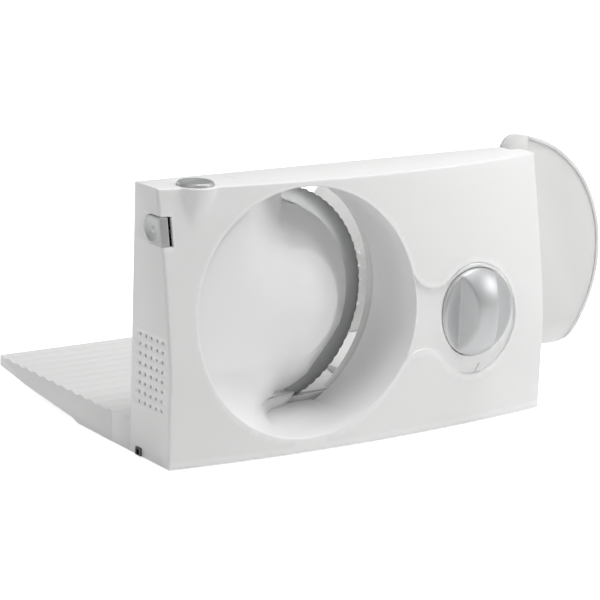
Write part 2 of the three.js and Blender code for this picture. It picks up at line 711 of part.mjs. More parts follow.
// The spindle's thread, grown on every side for the hub that runs on it
function spindleThread(grow, low, high) {
  return {
    root: spindle.radius - seat, crest: spindle.crest + grow,
    rootHalf: spindle.rootHalf + grow, crestHalf: spindle.crestHalf + grow,
    pitch: screwLead, low, high, stepsPerTurn: 16,
  };
}

// Lays a geometry built about Z along Y, keeping its hand
function alongY(geometry, x = 0, z = 0) {
  return solid(geometry.rotateX(-quarterTurn).translate(x, 0, z));
}

// Knob: a turned dome with two scoops that leave a finger ridge
function thicknessKnob() {
  const sphere = (knob.radius ** 2 + knob.dome ** 2) / (2 * knob.dome);
  const tilt = Math.asin(knob.radius / sphere);
  const domePoints = spaced(tilt, 0, 6).map((angle) => [
    sphere * Math.sin(angle),
    knob.dome - knob.rim - sphere * (1 - Math.cos(angle)),
  ]);
  const profile = turnedZ([[0, -knob.base], [knob.radius, -knob.base], ...domePoints], sides.large);
  const dome = solid(profile.rotateX(quarterTurn));
  const top = knob.rim - knob.dome;
  const scoops = [-1, 1].map((side) => {
    const scoop = new THREE.Shape();
    const outside = knob.radius + knob.spread;
    scoop.moveTo(side * (knob.ridge - knob.spread), top - knob.spread);
    scoop.lineTo(side * knob.valley, knob.valleyY);
    const bend = (side * (knob.valley + knob.radius)) / 2;
    scoop.quadraticCurveTo(bend, knob.valleyY, side * outside, knob.scoopRimY);
    scoop.lineTo(side * outside, top - overrun);
    scoop.lineTo(side * (knob.ridge - knob.spread), top - overrun);
    const length = { depth: 2 * outside, bevelEnabled: false, curveSegments: 6 };
    const long = new THREE.ExtrudeGeometry(scoop, length);
    return solid(long.translate(0, 0, -outside));
  });
  return cut(dome, scoops);
}

function knobSpindle() {
  const flangeNear = knob.pocketFloor + body.wall + seat;
  return join([
    rodY(0, 0, spindle.radius, knob.base + seat, spindle.far),
    rodY(0, 0, spindle.flange, flangeNear, flangeNear + spindle.flangeThickness),
    alongY(threadAbout(spindleThread(0, spindle.threadNear, spindle.threadFar))),
  ]);
}

// Blade: a flat disc with a waved edge, ground on both sides
function bladeDisc() {
  const outline = new THREE.Shape();
  const steps = blade.waves * blade.stepsPerWave;
  for (let i = 0; i < steps; i += 1) {
    const angle = (i / steps) * fullTurn;
    const dip = (blade.waveDepth * (1 - Math.cos(angle * blade.waves))) / 2;
    const radius = blade.radius - blade.ground - dip;
    const point = [radius * Math.cos(angle), radius * Math.sin(angle)];
    if (i === 0) outline.moveTo(...point);
    else outline.lineTo(...point);
  }
  const slope = blade.thickness * blade.groundShare;
  const geometry = new THREE.ExtrudeGeometry(outline, {
    depth: blade.thickness - 2 * slope, bevelEnabled: true, bevelSegments: 1, bevelSize: blade.ground,
    bevelThickness: slope,
  });
  return solid(geometry.rotateX(quarterTurn).translate(0, blade.near + blade.thickness - slope, 0))
    .subtract(rodY(0, 0, lock.stub + seat, 0, body.depth));
}

// Worm wheel with slanted teeth, moulded with the hub that carries the blade
function wormWheel() {
  const tip = wheel.radius + wheel.addendum;
  const root = wheel.radius - wheel.dedendum;
  const pitchAngle = fullTurn / wheel.teeth;
  const points = [];
  for (let i = 0; i < wheel.teeth; i += 1) {
    const middle = (i + 1 / 2) * pitchAngle;
    const corners = [
      [root, -wheel.rootShare],
      [tip, -wheel.tipShare],
      [tip, wheel.tipShare],
      [root, wheel.rootShare],
    ];
    for (const [radius, share] of corners) {
      const angle = middle + share * pitchAngle;
      points.push([radius * Math.cos(angle), radius * Math.sin(angle)]);
    }
  }
  const half = wheel.width / 2;
  const slant = wormLead / (fullTurn * worm.radius);
  const geometry = new THREE.ExtrudeGeometry(shapeOf(points), { depth: wheel.width, bevelEnabled: false });
  geometry.rotateX(quarterTurn).translate(0, half, 0);
  const place = geometry.attributes.position;
  for (let i = 0; i < place.count; i += 1) {
    const turn = (slant * place.getY(i)) / wheel.radius;
    const x = place.getX(i);
    const z = place.getZ(i);
    place.setX(i, x * Math.cos(turn) + z * Math.sin(turn));
    place.setZ(i, z * Math.cos(turn) - x * Math.sin(turn));
  }
  const toothed = solid(geometry.translate(0, wormY, 0));
  const inner = root - wheel.rim;
  const hollows = [
    rodY(0, 0, inner, wheel.near - overrun, wormY - wheel.web / 2, sides.large),
    rodY(0, 0, inner, wormY + wheel.web / 2, wheel.near + wheel.width + overrun, sides.large),
  ];
  const hub = rodY(0, 0, wheel.hub, wheel.near, wheel.hubFar);
  const bore = rodY(0, 0, wheel.bore, 0, wheel.hubFar);
  const socket = rodY(0, 0, lock.stub + seat, wheel.hubFar - lock.stubDepth - seat, body.depth);
  return cut(cut(toothed, hollows).add(hub), [bore, socket]);
}

// Lock: the slotted centre nut that holds the blade, reached from the food side
function bladeLock() {
  const far = lockNear + lock.thickness;
  const crown = far - lock.chamfer;
  return cut(join([
    rodY(0, 0, lock.radius, lockNear, crown, sides.fine),
    rodY(0, 0, lock.radius, crown - weld, far, sides.fine, lock.radius - lock.chamfer),
    rodY(0, 0, lock.stub, wheel.hubFar - lock.stubDepth, lockNear + weld),
  ]), [
    block(
      -lock.radius,
      lock.radius,
      far - lock.slotDepth,
      far + overrun,
      -lock.slotWidth / 2,
      lock.slotWidth / 2,
    ),
  ]);
}

function bladeAxle() {
  return rodY(blade.x, blade.z, axle.radius, axle.near - axle.headThickness, axle.far)
    .add(rodY(blade.x, blade.z, axle.head, axle.near - axle.headThickness, axle.near, axle.headSides));
}

// Gear carrier: three screwed arms round the axle, and a lug that steadies the worm's far end
function gearCarrier() {
  const armAt = (share, length) => {
    const arm = new THREE.BoxGeometry(length, carrier.thickness, 2 * carrier.arm);
    arm.translate(length / 2, 0, 0).rotateY(-share * fullTurn);
    return solid(arm.translate(blade.x, carrier.near + carrier.thickness / 2, blade.z));
  };
  const hub = rodY(blade.x, blade.z, carrier.hub, carrier.near, carrier.hubFar);
  const ends = carrierScrews.map(([x, z]) => rodY(x, z, carrier.arm, carrier.near, carrierFar));
  const lug = block(wormX - carrier.lugOuter, wormX + carrier.lugInner, carrier.near, carrier.lugFar,
    blade.z + carrier.lugLow, blade.z + carrier.lugHigh);
  const holes = carrierScrews.map(([x, z]) =>
    rodY(x, z, carrierScrew.radius + seat, 0, body.depth, sides.small));
  return cut(join([
    hub,
    ...carrier.armShares.map((share) => armAt(share, carrier.reach)),
    armAt(carrier.lugShare, carrier.lugReach),
    ...ends,
    lug,
  ]), [
    rodY(blade.x, blade.z, wheel.bore, 0, body.depth),
    rodZ(wormX, wormY, motor.bore, motor.top, body.top),
    ...holes,
  ]);
}

// A headed screw along Y, with its head on the far side
function screwY([x, z], size, headNear, tip) {
  const head = rodY(x, z, size.head, headNear, headNear + size.headHeight, sides.small);
  const shank = rodY(x, z, size.radius, tip, headNear + weld, sides.tiny);
  const driver = block(x - size.head, x + size.head, headNear + size.headHeight / 2, body.depth,
    z - size.radius / 4, z + size.radius / 4);
  return head.subtract(driver).add(shank);
}

// Motor: a closed can whose shaft carries the worm
function motorCase() {
  return join([
    rodZ(0, 0, motor.radius, motor.bottom, motor.top, sides.fine),
    rodZ(0, 0, motor.collar, motor.top - weld, motor.top + motor.collarHeight),
  ]).subtract(rodZ(0, 0, motor.bore, motor.top - motor.shaftDepth, body.top));
}

function motorRotor() {
  const shaftLow = motor.top - motor.shaftDepth + seat;
  const thread = threadAbout({
    root: worm.root - seat, crest: worm.crest, rootHalf: worm.rootHalf, crestHalf: worm.crestHalf,
    pitch: wormLead, low: worm.rootHalf - worm.half, high: worm.half - worm.rootHalf, stepsPerTurn: 12,
  });
  return join([
    rodZ(0, 0, worm.shaft, shaftLow, blade.z + worm.shaftEnd, sides.pin),
    rodZ(0, 0, worm.root, blade.z - worm.half, blade.z + worm.half, sides.pin),
    solid(thread.translate(0, 0, blade.z)),
  ]);
}

function motorCradle() {
  const outer = motor.radius + seat + cradle.wall;
  return cut(rodZ(0, 0, outer, floorTop + seat, cradle.top, sides.fine), [
    rodZ(0, 0, motor.radius + seat, motor.bottom - seat, body.top, sides.fine),
    rodZ(0, 0, cradle.hole, 0, body.top),
  ]);
}

// Top button: a dished disc with a rim, on a stem
function pressButton() {
  const rimInner = topButton.radius - topButton.rim;
  const dishLow = buttonCrown - topButton.dish;
  const stemEnd = buttonSkirt - topButton.stemLength;
  return solid(turnedZ([
    [0, stemEnd],
    [topButton.stem, stemEnd],
    [topButton.stem, buttonSkirt],
    [topButton.radius, buttonSkirt],
    [topButton.radius, buttonCrown - topButton.chamfer],
    [topButton.radius - topButton.chamfer, buttonCrown],
    [rimInner, buttonCrown],
    [rimInner / 2, dishLow + topButton.dish / 4],
    [0, dishLow],
  ], sides.round));
}

// Side button: a D with a dished end, flush with the front surface, on a stem
function sidePress() {
  const front = skinBetween(0, 2 * body.depth);
  const key = beam(sideOutline(sideButton.gap), -sideButton.proud, sideButton.inner).intersect(front);
  const flangeNear = body.wall + seat;
  const flange = beam(sideOutline(-sideButton.flange), flangeNear, flangeNear + sideButton.flangeThickness)
    .intersect(skinBetween(body.wall + running, 2 * body.depth));
  const stemStart = sideButton.inner - weld;
  const stem = rodX(sideButton.stemY, sideButton.stemZ, sideButton.stem, stemStart, sideButton.stemEnd);
  const sphere = (sideButton.dish ** 2 + sideButton.dishDepth ** 2) / (2 * sideButton.dishDepth);
  const hollow = new THREE.SphereGeometry(sphere, sides.fine, sides.round);
  hollow.translate(sideButton.dishDepth - sideButton.proud - sphere,
    sideButton.stemY, (sideButton.top + sideButton.bottom) / 2);
  return join([key, flange, stem]).subtract(solid(hollow));
}

// Bracket that holds both switches and takes both springs
function switchBracket() {
  const under = bracketTop - bracket.thickness;
  const left = bracket.left + bracket.thickness;
  const low = bracketTop - bracket.height;
  return cut(join([
    block(
      bracket.left,
      bracket.right,
      coverBack - bracket.thickness,
      coverBack,
      low,
      bracketTop,
    ),
    block(bracket.left, bracket.right, bracket.near, coverBack, under, bracketTop),
    block(bracket.left, left, bracket.near, coverBack, low, bracketTop),
  ]), [
    rodZ(topButton.x, topButton.y, bracket.hole, 0, body.top),
    rodX(sideButton.stemY, sideButton.stemZ, bracket.hole, 0, body.length),
  ]);
}

// A small switch whose plunger points along Z from its top
function smallSwitch() {
  return solid(new THREE.BoxGeometry(microswitch.width, microswitch.depth, microswitch.height)
    .translate(0, 0, -microswitch.height / 2))
    .add(rodZ(0, 0, microswitch.plunger, -microswitch.plunger, microswitch.reach, sides.pin));
}

// Cord gland: a square plug in the outlet, with a flange behind the end wall
function cordGland() {
  const low = body.bottom;
  const near = outlet.near + seat;
  const far = outlet.far - seat;
  const high = outlet.top - seat;
  const flangeNear = body.wall + seat;
  const boreEnd = gland.length + overrun;
  const cordHole = rodX((near + far) / 2, (low + high) / 2, gland.cord, -overrun, boreEnd, sides.pin);
  return join([
    block(-gland.proud, gland.length, near, far, low, high),
    block(
      flangeNear,
      flangeNear + gland.flangeThickness,
      near - gland.flange,
      far + gland.flange,
      low,
      high + gland.flange,
    ),
  ]).subtract(cordHole);
}

// Base: a floor inside the housing and the hollow bar behind it, with ears for the table
function baseFrame() {
  const left = body.wall + seat;
  const right = body.length - body.wall - seat;
  const curve = spaced(left, right, 24).map((x) => [x, frontAt(x, body.bottom) + body.wall + seat]);
  const plate = slabOf(shapeOf([...curve, [right, barNear + bar.wall / 2], [left, barNear + bar.wall / 2]]),
    body.bottom, floorTop);
  const bulk = block(0, body.length, barNear, barFar, body.bottom, bar.top);
  const hollow = block(bar.wall, body.length - bar.wall, barNear + bar.wall, barFar - bar.wall,
    -overrun, bar.top - bar.wall);
  const blocks = [bar.padInset, body.length - bar.padInset - bar.padWidth].map((x) =>
    block(x, x + bar.padWidth, barNear, barFar, body.bottom, bar.top));
  const pads = [foot.inset, body.length - foot.inset].map((x) =>
    rodZ(x, foot.frontY, floor.padRadius, body.bottom, floor.padTop));
  const ears = hingeStarts().map((x) => join([
    rodX(hingeY, hingeZ, hinge.ear, x, x + hinge.width),
    block(x, x + hinge.width, barFar - bar.wall / 2, hingeY, hingeZ - hinge.ear, hingeZ + hinge.ear),
  ]));
  const pockets = footPlaces().map(([x, y]) =>
    rodZ(x, y, foot.radius + seat, -overrun, foot.height + seat));
  const notch = block(0, gland.length + seat, outlet.near - gland.flange - seat, outlet.far + gland.flange,
    -overrun, floorTop + overrun);
  const boreEnd = body.length + overrun;
  const pinHole = rodX(hingeY, hingeZ, hinge.pin + hinge.pinGap, -overrun, boreEnd, sides.pin);
  const whole = join([plate, bulk.subtract(hollow), ...blocks, ...pads, ...ears]);
  return cut(whole, [...pockets, notch, pinHole]);
}

function hingeStarts() {
  return [hinge.inset, body.length - hinge.inset - hinge.width];
}

function footPlaces() {
  const rearY = (barNear + barFar) / 2;
  const right = body.length - foot.inset;
  return [[foot.inset, foot.frontY], [right, foot.frontY], [foot.inset, rearY], [right, rearY]];
}

function rubberFoot() {
  return solid(turnedZ([
    [0, 0],
    [foot.radius - foot.chamfer, 0],
    [foot.radius, foot.chamfer],
    [foot.radius, foot.height],
    [0, foot.height],
  ], sides.plain));
}

function hingePin(x) {
  return rodX(hingeY, hingeZ, hinge.pin, x - hinge.overhang, x + hinge.width + hinge.overhang, sides.pin);
}

// The table's ribbed top line between two places, raised by a gap for what slides on it
function ribLine(from, to, raise) {
  const pitch = (tableFar - hingeY) / table.ribs;
  const step = pitch / table.ribSteps;
  const heightAt = (y) => {
    const phase = (fullTurn * (y - hingeY)) / pitch;
    return bar.top + raise - (table.ribDepth * (1 - Math.cos(Math.max(phase, 0)))) / 2;
  };
  const inner = spaced(hingeY, tableFar, table.ribs * table.ribSteps)
    .filter((y) => y > from + step / 4 && y < to - step / 4);
  return [from, ...inner, to].map((y) => [y, heightAt(y)]);
}

// Table: a ribbed top with skirts, runners under it, and a barrelled edge that folds at the bar
function foodTable() {
  const arc = spaced(Math.PI, quarterTurn, 6).slice(0, -1).map((angle) => [
    hingeY + hinge.barrel * Math.cos(angle),
    hingeZ + hinge.barrel * Math.sin(angle),
  ]);
  const skirt = [
    [tableFar, table.edgeZ],
    [table.bendY, table.bendZ],
    [table.footY, table.footZ],
    [table.footNearY, table.footNearZ],
    [tableNear, table.bottom],
  ];
  const outer = beam(shapeOf([...arc, ...ribLine(hingeY, tableFar, 0), ...skirt]), 0, body.length);
  const under = bar.top - table.ribDepth - table.skin;
  const hollow = block(table.wall, body.length - table.wall, tableNear + table.wall, tableFar - table.wall,
    -overrun, under);
  const rail = block(table.wall / 2, body.length - table.wall / 2, tableNear + table.wall / 2,
    tableNear + table.railDepth, table.railLow, under + table.skin / 2);
  const runners = runnerStarts().map((x) => {
    const side = new THREE.Shape();
    side.moveTo(runner.near, under + table.skin / 2);
    side.lineTo(runner.near, runner.pad + seat);
    side.lineTo(runner.far - runner.curve, runner.pad + seat);
    side.quadraticCurveTo(runner.far, runner.pad + seat, runner.far, runner.pad + seat + runner.curve);
    side.lineTo(runner.far, under + table.skin / 2);
    return beam(side, x, x + runner.width);
  });
  const clear = hinge.ear + running;
  const pockets = hingeStarts().map((x) => join([
    rodX(hingeY, hingeZ, clear, x - running, x + hinge.width + running),
    block(
      x - running,
      x + hinge.width + running,
      tableNear - overrun,
      hingeY,
      hingeZ - clear,
      bar.top + overrun,
    ),
  ]));
  const pins = hingeStarts().map((x) => rodX(hingeY, hingeZ, hinge.pin + hinge.pinGap,
    x - hinge.overhang - hinge.pinGap, x + hinge.width + hinge.overhang + hinge.pinGap, sides.pin));
  return cut(join([outer.subtract(hollow), rail, ...runners]), [...pockets, ...pins]);
}

function runnerStarts() {
  return [runner.inset, body.length - runner.inset - runner.width];
}

function tablePad(x) {
  const inset = runner.padInset;
  return block(x + inset, x + runner.width - inset, runner.near + inset, runner.far - runner.curve - inset,
    0, runner.pad);
}

// Food carriage: a plate on the ribs, with a tall fence that guards the hand
function foodCarriage() {
  const under = ribLine(carriage.near, carriage.far, seat).reverse();
  const plate = beam(shapeOf([
    [carriage.near, carriage.top],
    [carriage.far, carriage.top],
    ...under,
  ]), carriage.left, carriage.right);
  const side = new THREE.Shape();
  const fenceLow = carriage.top - carriage.fence / 2;
  side.moveTo(carriage.near, fenceLow);
  side.lineTo(carriage.near, carriage.fenceFoot);
  side.lineTo(carriage.fenceNear, carriage.fenceTop);
  side.absarc(carriage.far - carriage.corner, carriage.fenceTop - carriage.corner, carriage.corner,
    quarterTurn, 0, true);
  side.lineTo(carriage.far, fenceLow);
  return plate.add(beam(side, carriage.right - carriage.fence, carriage.right, 6));
}

// Remnant holder: a spiked pusher, a grip behind it and a saddle that rides on the fence
function remnantHolder() {
  const fenceLeft = carriage.right - carriage.fence;
  const saddleLeft = fenceLeft - running - holder.saddleWall;
  const saddleRight = carriage.right + running + holder.saddleWall;
  const low = carriage.top + holder.floorGap;
  const far = holder.y + holder.thickness;
  const right = saddleLeft + holder.saddleWall / 2;
  const outline = new THREE.Shape();
  outline.moveTo(holder.left, low);
  outline.lineTo(right, low);
  outline.absarc(right - holder.corner, holder.top - holder.corner, holder.corner, 0, quarterTurn, false);
  outline.absarc(holder.left + holder.corner, holder.top - holder.corner, holder.corner,
    quarterTurn, Math.PI, false);
  const plate = sheet(outline, holder.y, far, 6);
  const saddleTop = carriage.fenceTop + running + holder.saddleWall;
  const saddleFar = holder.y + holder.saddleLength;
  const overFence = carriage.fenceTop + running;
  const saddle = block(saddleLeft, saddleRight, holder.y, saddleFar, holder.saddleLow, saddleTop)
    .subtract(block(fenceLeft - running, carriage.right + running, 0, body.length, 0, overFence));
  const middle = (holder.left + right) / 2;
  const gripNear = far - holder.thickness / 2;
  const gripFar = far + holder.gripDepth;
  const grip = beam(gripSection(gripNear, gripFar, holder.gripLow, holder.gripHigh, holder.gripCorner),
    middle - holder.gripWidth / 2, middle + holder.gripWidth / 2, 6);
  const hand = beam(gripSection(far + weld, gripFar - holder.gripWall, holder.gripLow + holder.gripWall,
    holder.gripHigh - holder.gripWall, holder.gripCorner - holder.gripWall / 2),
  middle - holder.gripWidth, middle + holder.gripWidth, 6);
  const spikes = [];
  for (const x of spaced(spike.left, spike.right, spike.columns - 1)) {
    for (const z of spaced(spike.low, spike.high, spike.rows - 1)) {
      const point = new THREE.ConeGeometry(spike.radius, spike.length, spike.sides);
      spikes.push(solid(point.rotateX(Math.PI).translate(x, holder.y + weld - spike.length / 2, z)));
    }
  }
  return join([plate, saddle, grip.subtract(hand), ...spikes]);
}

// A loop handle's outline, rounded at its two far corners
function gripSection(near, far, low, high, corner) {
  const outline = new THREE.Shape();
  outline.moveTo(near, low);
  outline.absarc(far - corner, low + corner, corner, -quarterTurn, 0, false);
  outline.absarc(far - corner, high - corner, corner, 0, quarterTurn, false);
  outline.lineTo(near, high);
  return outline;
}

// Materials
const finish = (color, roughness, metalness = 0) =>
  new THREE.MeshStandardMaterial({ color, roughness, metalness });
const whiteMatte = () => finish("#e2e2e0", 0.55);
const whiteGloss = () => finish("#e9e9e8", 0.25);
const silverPlastic = () => finish("#b4b6b8", 0.35, 0.3);
const steel = () => finish("#c3c5c7", 0.25, 1);
const darkSteel = () => finish("#7b7e82", 0.35, 1);
const naturalPlastic = () => finish("#d9d4c4", 0.5);
const blackPlastic = () => finish("#232426", 0.5);
const rubber = () => finish("#3a3b3d", 0.85);
const motorPaint = () => finish("#8d9196", 0.4, 0.6);

function piece(name, shape, material) {
  const mesh = shape.getMesh();
  const geometry = new THREE.BufferGeometry();
  geometry.setAttribute("position", new THREE.BufferAttribute(mesh.vertProperties, 3));
  geometry.setIndex(new THREE.BufferAttribute(mesh.triVerts, 1));
  geometry.computeVertexNormals();
  const result = new THREE.Mesh(geometry, material);
  result.name = name;
  return result;
}

function group(x, y, z, pieces) {
  const result = new THREE.Group();
  result.position.set(x, y, z);
  result.add(...pieces);
  return result;
}

// Assembly
function buildSlicer() {
  const housing = group(0, 0, 0, [
    piece("front_shell", frontShell(), whiteMatte()),
    piece("blade_guard", innerGuard(), whiteGloss()),
    piece("rear_shell", rearShell(), whiteMatte()),
    piece("base_frame", baseFrame(), whiteMatte()),
    piece("cord_gland", cordGland(), blackPlastic()),
    piece("switch_bracket", switchBracket(), naturalPlastic()),
    piece("gear_carrier", gearCarrier(), naturalPlastic()),
    piece("blade_axle", bladeAxle(), darkSteel()),
  ]);
  shellScrews.forEach((place, i) => {
    const tip = coverBack - shellScrew.depth + seat;
    const screw = screwY(place, shellScrew, panelFar + seat, tip);
    housing.add(piece(`housing_screw_${i + 1}`, screw, darkSteel()));
  });
  carrierScrews.forEach((place, i) => {
    const tip = carrier.near - carrierScrew.depth;
    const screw = screwY(place, carrierScrew, carrierFar + seat, tip);
    housing.add(piece(`carrier_screw_${i + 1}`, screw, darkSteel()));
  });
  footPlaces().forEach(([x, y], i) => {
    housing.add(group(x, y, 0, [piece(`foot_${i + 1}`, rubberFoot(), rubber())]));
  });
  hingeStarts().forEach((x, i) => {
    housing.add(piece(`hinge_pin_${i + 1}`, hingePin(x), steel()));
  });

  const drive = group(wormX, wormY, 0, [
    piece("motor_case", motorCase(), motorPaint()),
    piece("motor_rotor", motorRotor(), steel()),
    piece("motor_cradle", motorCradle(), naturalPlastic()),
  ]);

  const bladeUnit = group(blade.x, 0, blade.z, [
    piece("blade", bladeDisc(), steel()),
    piece("blade_gear", wormWheel(), naturalPlastic()),
    piece("blade_lock", bladeLock(), silverPlastic()),
  ]);

  const knobUnit = group(knob.x, 0, knob.z, [
    piece("thickness_knob", thicknessKnob(), silverPlastic()),
    piece("thickness_spindle", knobSpindle(), naturalPlastic()),
  ]);

  const plateUnit = group(0, 0, 0, [
    piece("stop_plate", stopPlate(), whiteMatte()),
    piece("guide_pin_upper", guideRod(plateGuides[1]), steel()),
    piece("guide_pin_lower", guideRod(plateGuides[2]), steel()),
  ]);

  const topUnit = group(topButton.x, topButton.y, 0, [
    piece("top_button", pressButton(), silverPlastic()),
    group(0, 0, bracketTop + seat, [
      piece("top_button_spring", solid(coil(buttonSkirt - bracketTop - 2 * seat)), steel()),
    ]),
    group(0, 0, bracketTop - bracket.thickness - seat, [
      piece("power_switch", smallSwitch(), blackPlastic()),
    ]),
  ]);

  const sideSpring = group(sideButton.inner + seat, sideButton.stemY, sideButton.stemZ, [
    piece("side_button_spring", solid(coil(bracket.left - sideButton.inner - 2 * seat)), steel()),
  ]);
  sideSpring.rotation.y = quarterTurn;
  const sideSwitch = group(bracket.left + bracket.thickness + seat, sideButton.stemY, sideButton.stemZ, [
    piece("safety_switch", smallSwitch(), blackPlastic()),
  ]);
  sideSwitch.rotation.y = -quarterTurn;
  const sideUnit = group(0, 0, 0, [
    piece("side_button", sidePress(), silverPlastic()),
    sideSpring,
    sideSwitch,
  ]);

  const holderUnit = group(0, 0, 0, [piece("remnant_holder", remnantHolder(), whiteMatte())]);
  const carriageUnit = group(0, 0, 0, [piece("food_carriage", foodCarriage(), whiteMatte()), holderUnit]);
  const tableUnit = group(0, 0, 0, [piece("table", foodTable(), whiteMatte()), carriageUnit]);
  runnerStarts().forEach((x, i) => {
    tableUnit.add(piece(`table_pad_${i + 1}`, tablePad(x), rubber()));
  });

  const machine = group(0, 0, 0, [
    housing, drive, bladeUnit, knobUnit, plateUnit, topUnit, sideUnit, tableUnit,
  ]);
  const box = new THREE.Box3().setFromObject(machine);
  const center = box.getCenter(new THREE.Vector3());
  machine.position.set(-center.x, -center.y, -box.min.z);
  return group(0, 0, 0, [machine]);
}

export default buildSlicer();
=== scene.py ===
import json
import math

import bpy
import numpy as np
from mathutils import Matrix, Vector


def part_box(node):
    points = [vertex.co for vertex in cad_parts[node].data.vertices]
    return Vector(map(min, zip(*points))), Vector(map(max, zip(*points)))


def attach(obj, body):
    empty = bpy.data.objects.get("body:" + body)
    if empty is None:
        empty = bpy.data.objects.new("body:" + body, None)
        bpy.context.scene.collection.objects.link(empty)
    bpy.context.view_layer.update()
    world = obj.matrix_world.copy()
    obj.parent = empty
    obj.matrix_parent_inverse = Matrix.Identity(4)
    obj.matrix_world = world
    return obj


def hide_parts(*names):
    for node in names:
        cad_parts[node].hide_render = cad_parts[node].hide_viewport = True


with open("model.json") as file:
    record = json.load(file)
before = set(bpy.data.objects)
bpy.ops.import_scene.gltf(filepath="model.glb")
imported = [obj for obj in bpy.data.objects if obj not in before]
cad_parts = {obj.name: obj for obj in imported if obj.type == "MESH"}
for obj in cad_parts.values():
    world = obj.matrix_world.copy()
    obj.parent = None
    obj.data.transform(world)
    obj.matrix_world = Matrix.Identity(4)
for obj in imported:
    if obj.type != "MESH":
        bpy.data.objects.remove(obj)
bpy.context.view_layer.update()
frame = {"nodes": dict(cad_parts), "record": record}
nodes = frame["nodes"]
bpy.ops.object.select_all(action="DESELECT")
print("frame loaded")

# Places are in millimetres: x from the housing's left end, y from its front foot, z from the worktop
mm = 0.001
quarterTurn = math.pi / 2
fullTurn = 2 * math.pi
meshing = {"joinWithin": 0.002, "flatWithin": 0.4, "tiny": 0.001}
toolEnds = {"ahead": -100, "inside": 60, "behind": 90, "left": -10}  # clear of the walls they cut
housing = {"length": 340, "top": 199, "bottom": 1, "depth": 53.3, "wall": 2.5, "edge": 1.3}
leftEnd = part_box("front_shell")[0].x
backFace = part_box("front_shell")[1].y


def at(x, y, z):
    return Vector((leftEnd + x * mm, backFace + (y - housing["depth"]) * mm, z * mm))


def spaced(first, last, steps):
    return [first + (last - first) * i / steps for i in range(steps + 1)]


def lerp(a, b, share):
    return a + (b - a) * share


def smooth(share):
    share = min(max(share, 0), 1)
    return share * share * (3 - 2 * share)


def arc(x, z, radius, start, end, steps):
    return [(x + radius * math.cos(t), z + radius * math.sin(t)) for t in spaced(start, end, steps)]


def circle(x, z, radius, sides):
    return arc(x, z, radius, 0, fullTurn, sides)[:-1]


# Modelling helpers
def onlySelect(piece):
    bpy.ops.object.select_all(action="DESELECT")
    piece.select_set(True)
    bpy.context.view_layer.objects.active = piece


def inEditMode(piece, *steps):
    onlySelect(piece)
    bpy.ops.object.mode_set(mode="EDIT")
    for step in steps:
        step()
    bpy.ops.object.mode_set(mode="OBJECT")


def selectAll():
    bpy.ops.mesh.select_all(action="SELECT")


def mergeClose():
    bpy.ops.mesh.remove_doubles(threshold=meshing["joinWithin"] * mm)


def facesOut():
    bpy.ops.mesh.normals_make_consistent(inside=False)


def pulledOut(run):
    return lambda: bpy.ops.mesh.extrude_region_move(TRANSFORM_OT_translate={"value": run})


# A grid whose crossing of column i and row j is put at place(i, j)
def netPiece(name, across, up, place):
    bpy.ops.mesh.primitive_grid_add(x_subdivisions=across, y_subdivisions=up, size=2)
    piece = bpy.context.object
    piece.name = name
    for vertex in piece.data.vertices:
        i = round((vertex.co.x + 1) / 2 * across)
        j = round((vertex.co.y + 1) / 2 * up)
        vertex.co = place(i, j)
    return piece


def closeUp(piece):
    inEditMode(piece, selectAll, mergeClose, facesOut)
    return piece


# A profile of radius and height, turned about an upright line through middle
def turned(name, profile, middle, steps):
    def place(i, j):
        angle = fullTurn * i / steps
        radius, height = profile[j]
        return at(middle[0] + radius * math.cos(angle), middle[1] + radius * math.sin(angle), height)
    return closeUp(netPiece(name, steps, len(profile) - 1, place))


def placeAlong(axis, a, b, along):
    return {"X": at(along, a, b), "Y": at(a, along, b), "Z": at(a, b, along)}[axis]


# A closed solid whose outline has the two coordinates across the axis
def prism(name, outline, first, last, axis="Y"):
    bpy.ops.mesh.primitive_circle_add(vertices=len(outline), fill_type="NGON")
    piece = bpy.context.object
    piece.name = name
    for vertex, (a, b) in zip(piece.data.vertices, outline):
        vertex.co = placeAlong(axis, a, b, first)
    run = placeAlong(axis, 0, 0, last) - placeAlong(axis, 0, 0, first)
    inEditMode(piece, selectAll, pulledOut(run), selectAll, facesOut)
    return piece


def rod(name, x, z, radius, near, far, sides=96):
    return prism(name, circle(x, z, radius, sides), near, far)


def combine(piece, tool, operation="DIFFERENCE"):
    onlySelect(piece)
    change = piece.modifiers.new("combine", "BOOLEAN")
    change.operation = operation
    change.solver = "EXACT"
    change.object = tool
    bpy.ops.object.modifier_apply(modifier=change.name)
    bpy.data.objects.remove(tool)
    return piece


def joined(pieces):
    bpy.ops.object.select_all(action="DESELECT")
    for piece in pieces:
        piece.select_set(True)
    bpy.context.view_layer.objects.active = pieces[0]
    bpy.ops.object.join()
    return pieces[0]


def thickened(piece, thickness):
    onlySelect(piece)
    wall = piece.modifiers.new("wall", "SOLIDIFY")
    wall.thickness = thickness * mm
    wall.offset = -1
    wall.use_even_offset = True
    bpy.ops.object.modifier_apply(modifier=wall.name)
    return piece


def softened(piece, width=0, segments=2, angle=35):
    onlySelect(piece)
    if width:
        soft = piece.modifiers.new("soft edges", "BEVEL")
        soft.width = width * mm
        soft.segments = segments
        soft.limit_method = "ANGLE"
        soft.angle_limit = math.radians(angle)
        soft.use_clamp_overlap = True
        bpy.ops.object.modifier_apply(modifier=soft.name)
    bpy.ops.object.shade_smooth_by_angle(angle=math.radians(angle))
    return piece


# Turns an open surface so that its middle face looks to the knob side
def faceToFront(piece):
    if piece.data.polygons[len(piece.data.polygons) // 2].normal.y > 0:
        inEditMode(piece, selectAll, lambda: bpy.ops.mesh.flip_normals())
    return piece


def finished(piece, body, slot, material, *replaced):
    piece.data.materials.clear()
    piece.data.materials.append(material)
    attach(piece, body)
    if replaced:
        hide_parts(*replaced)
    return piece


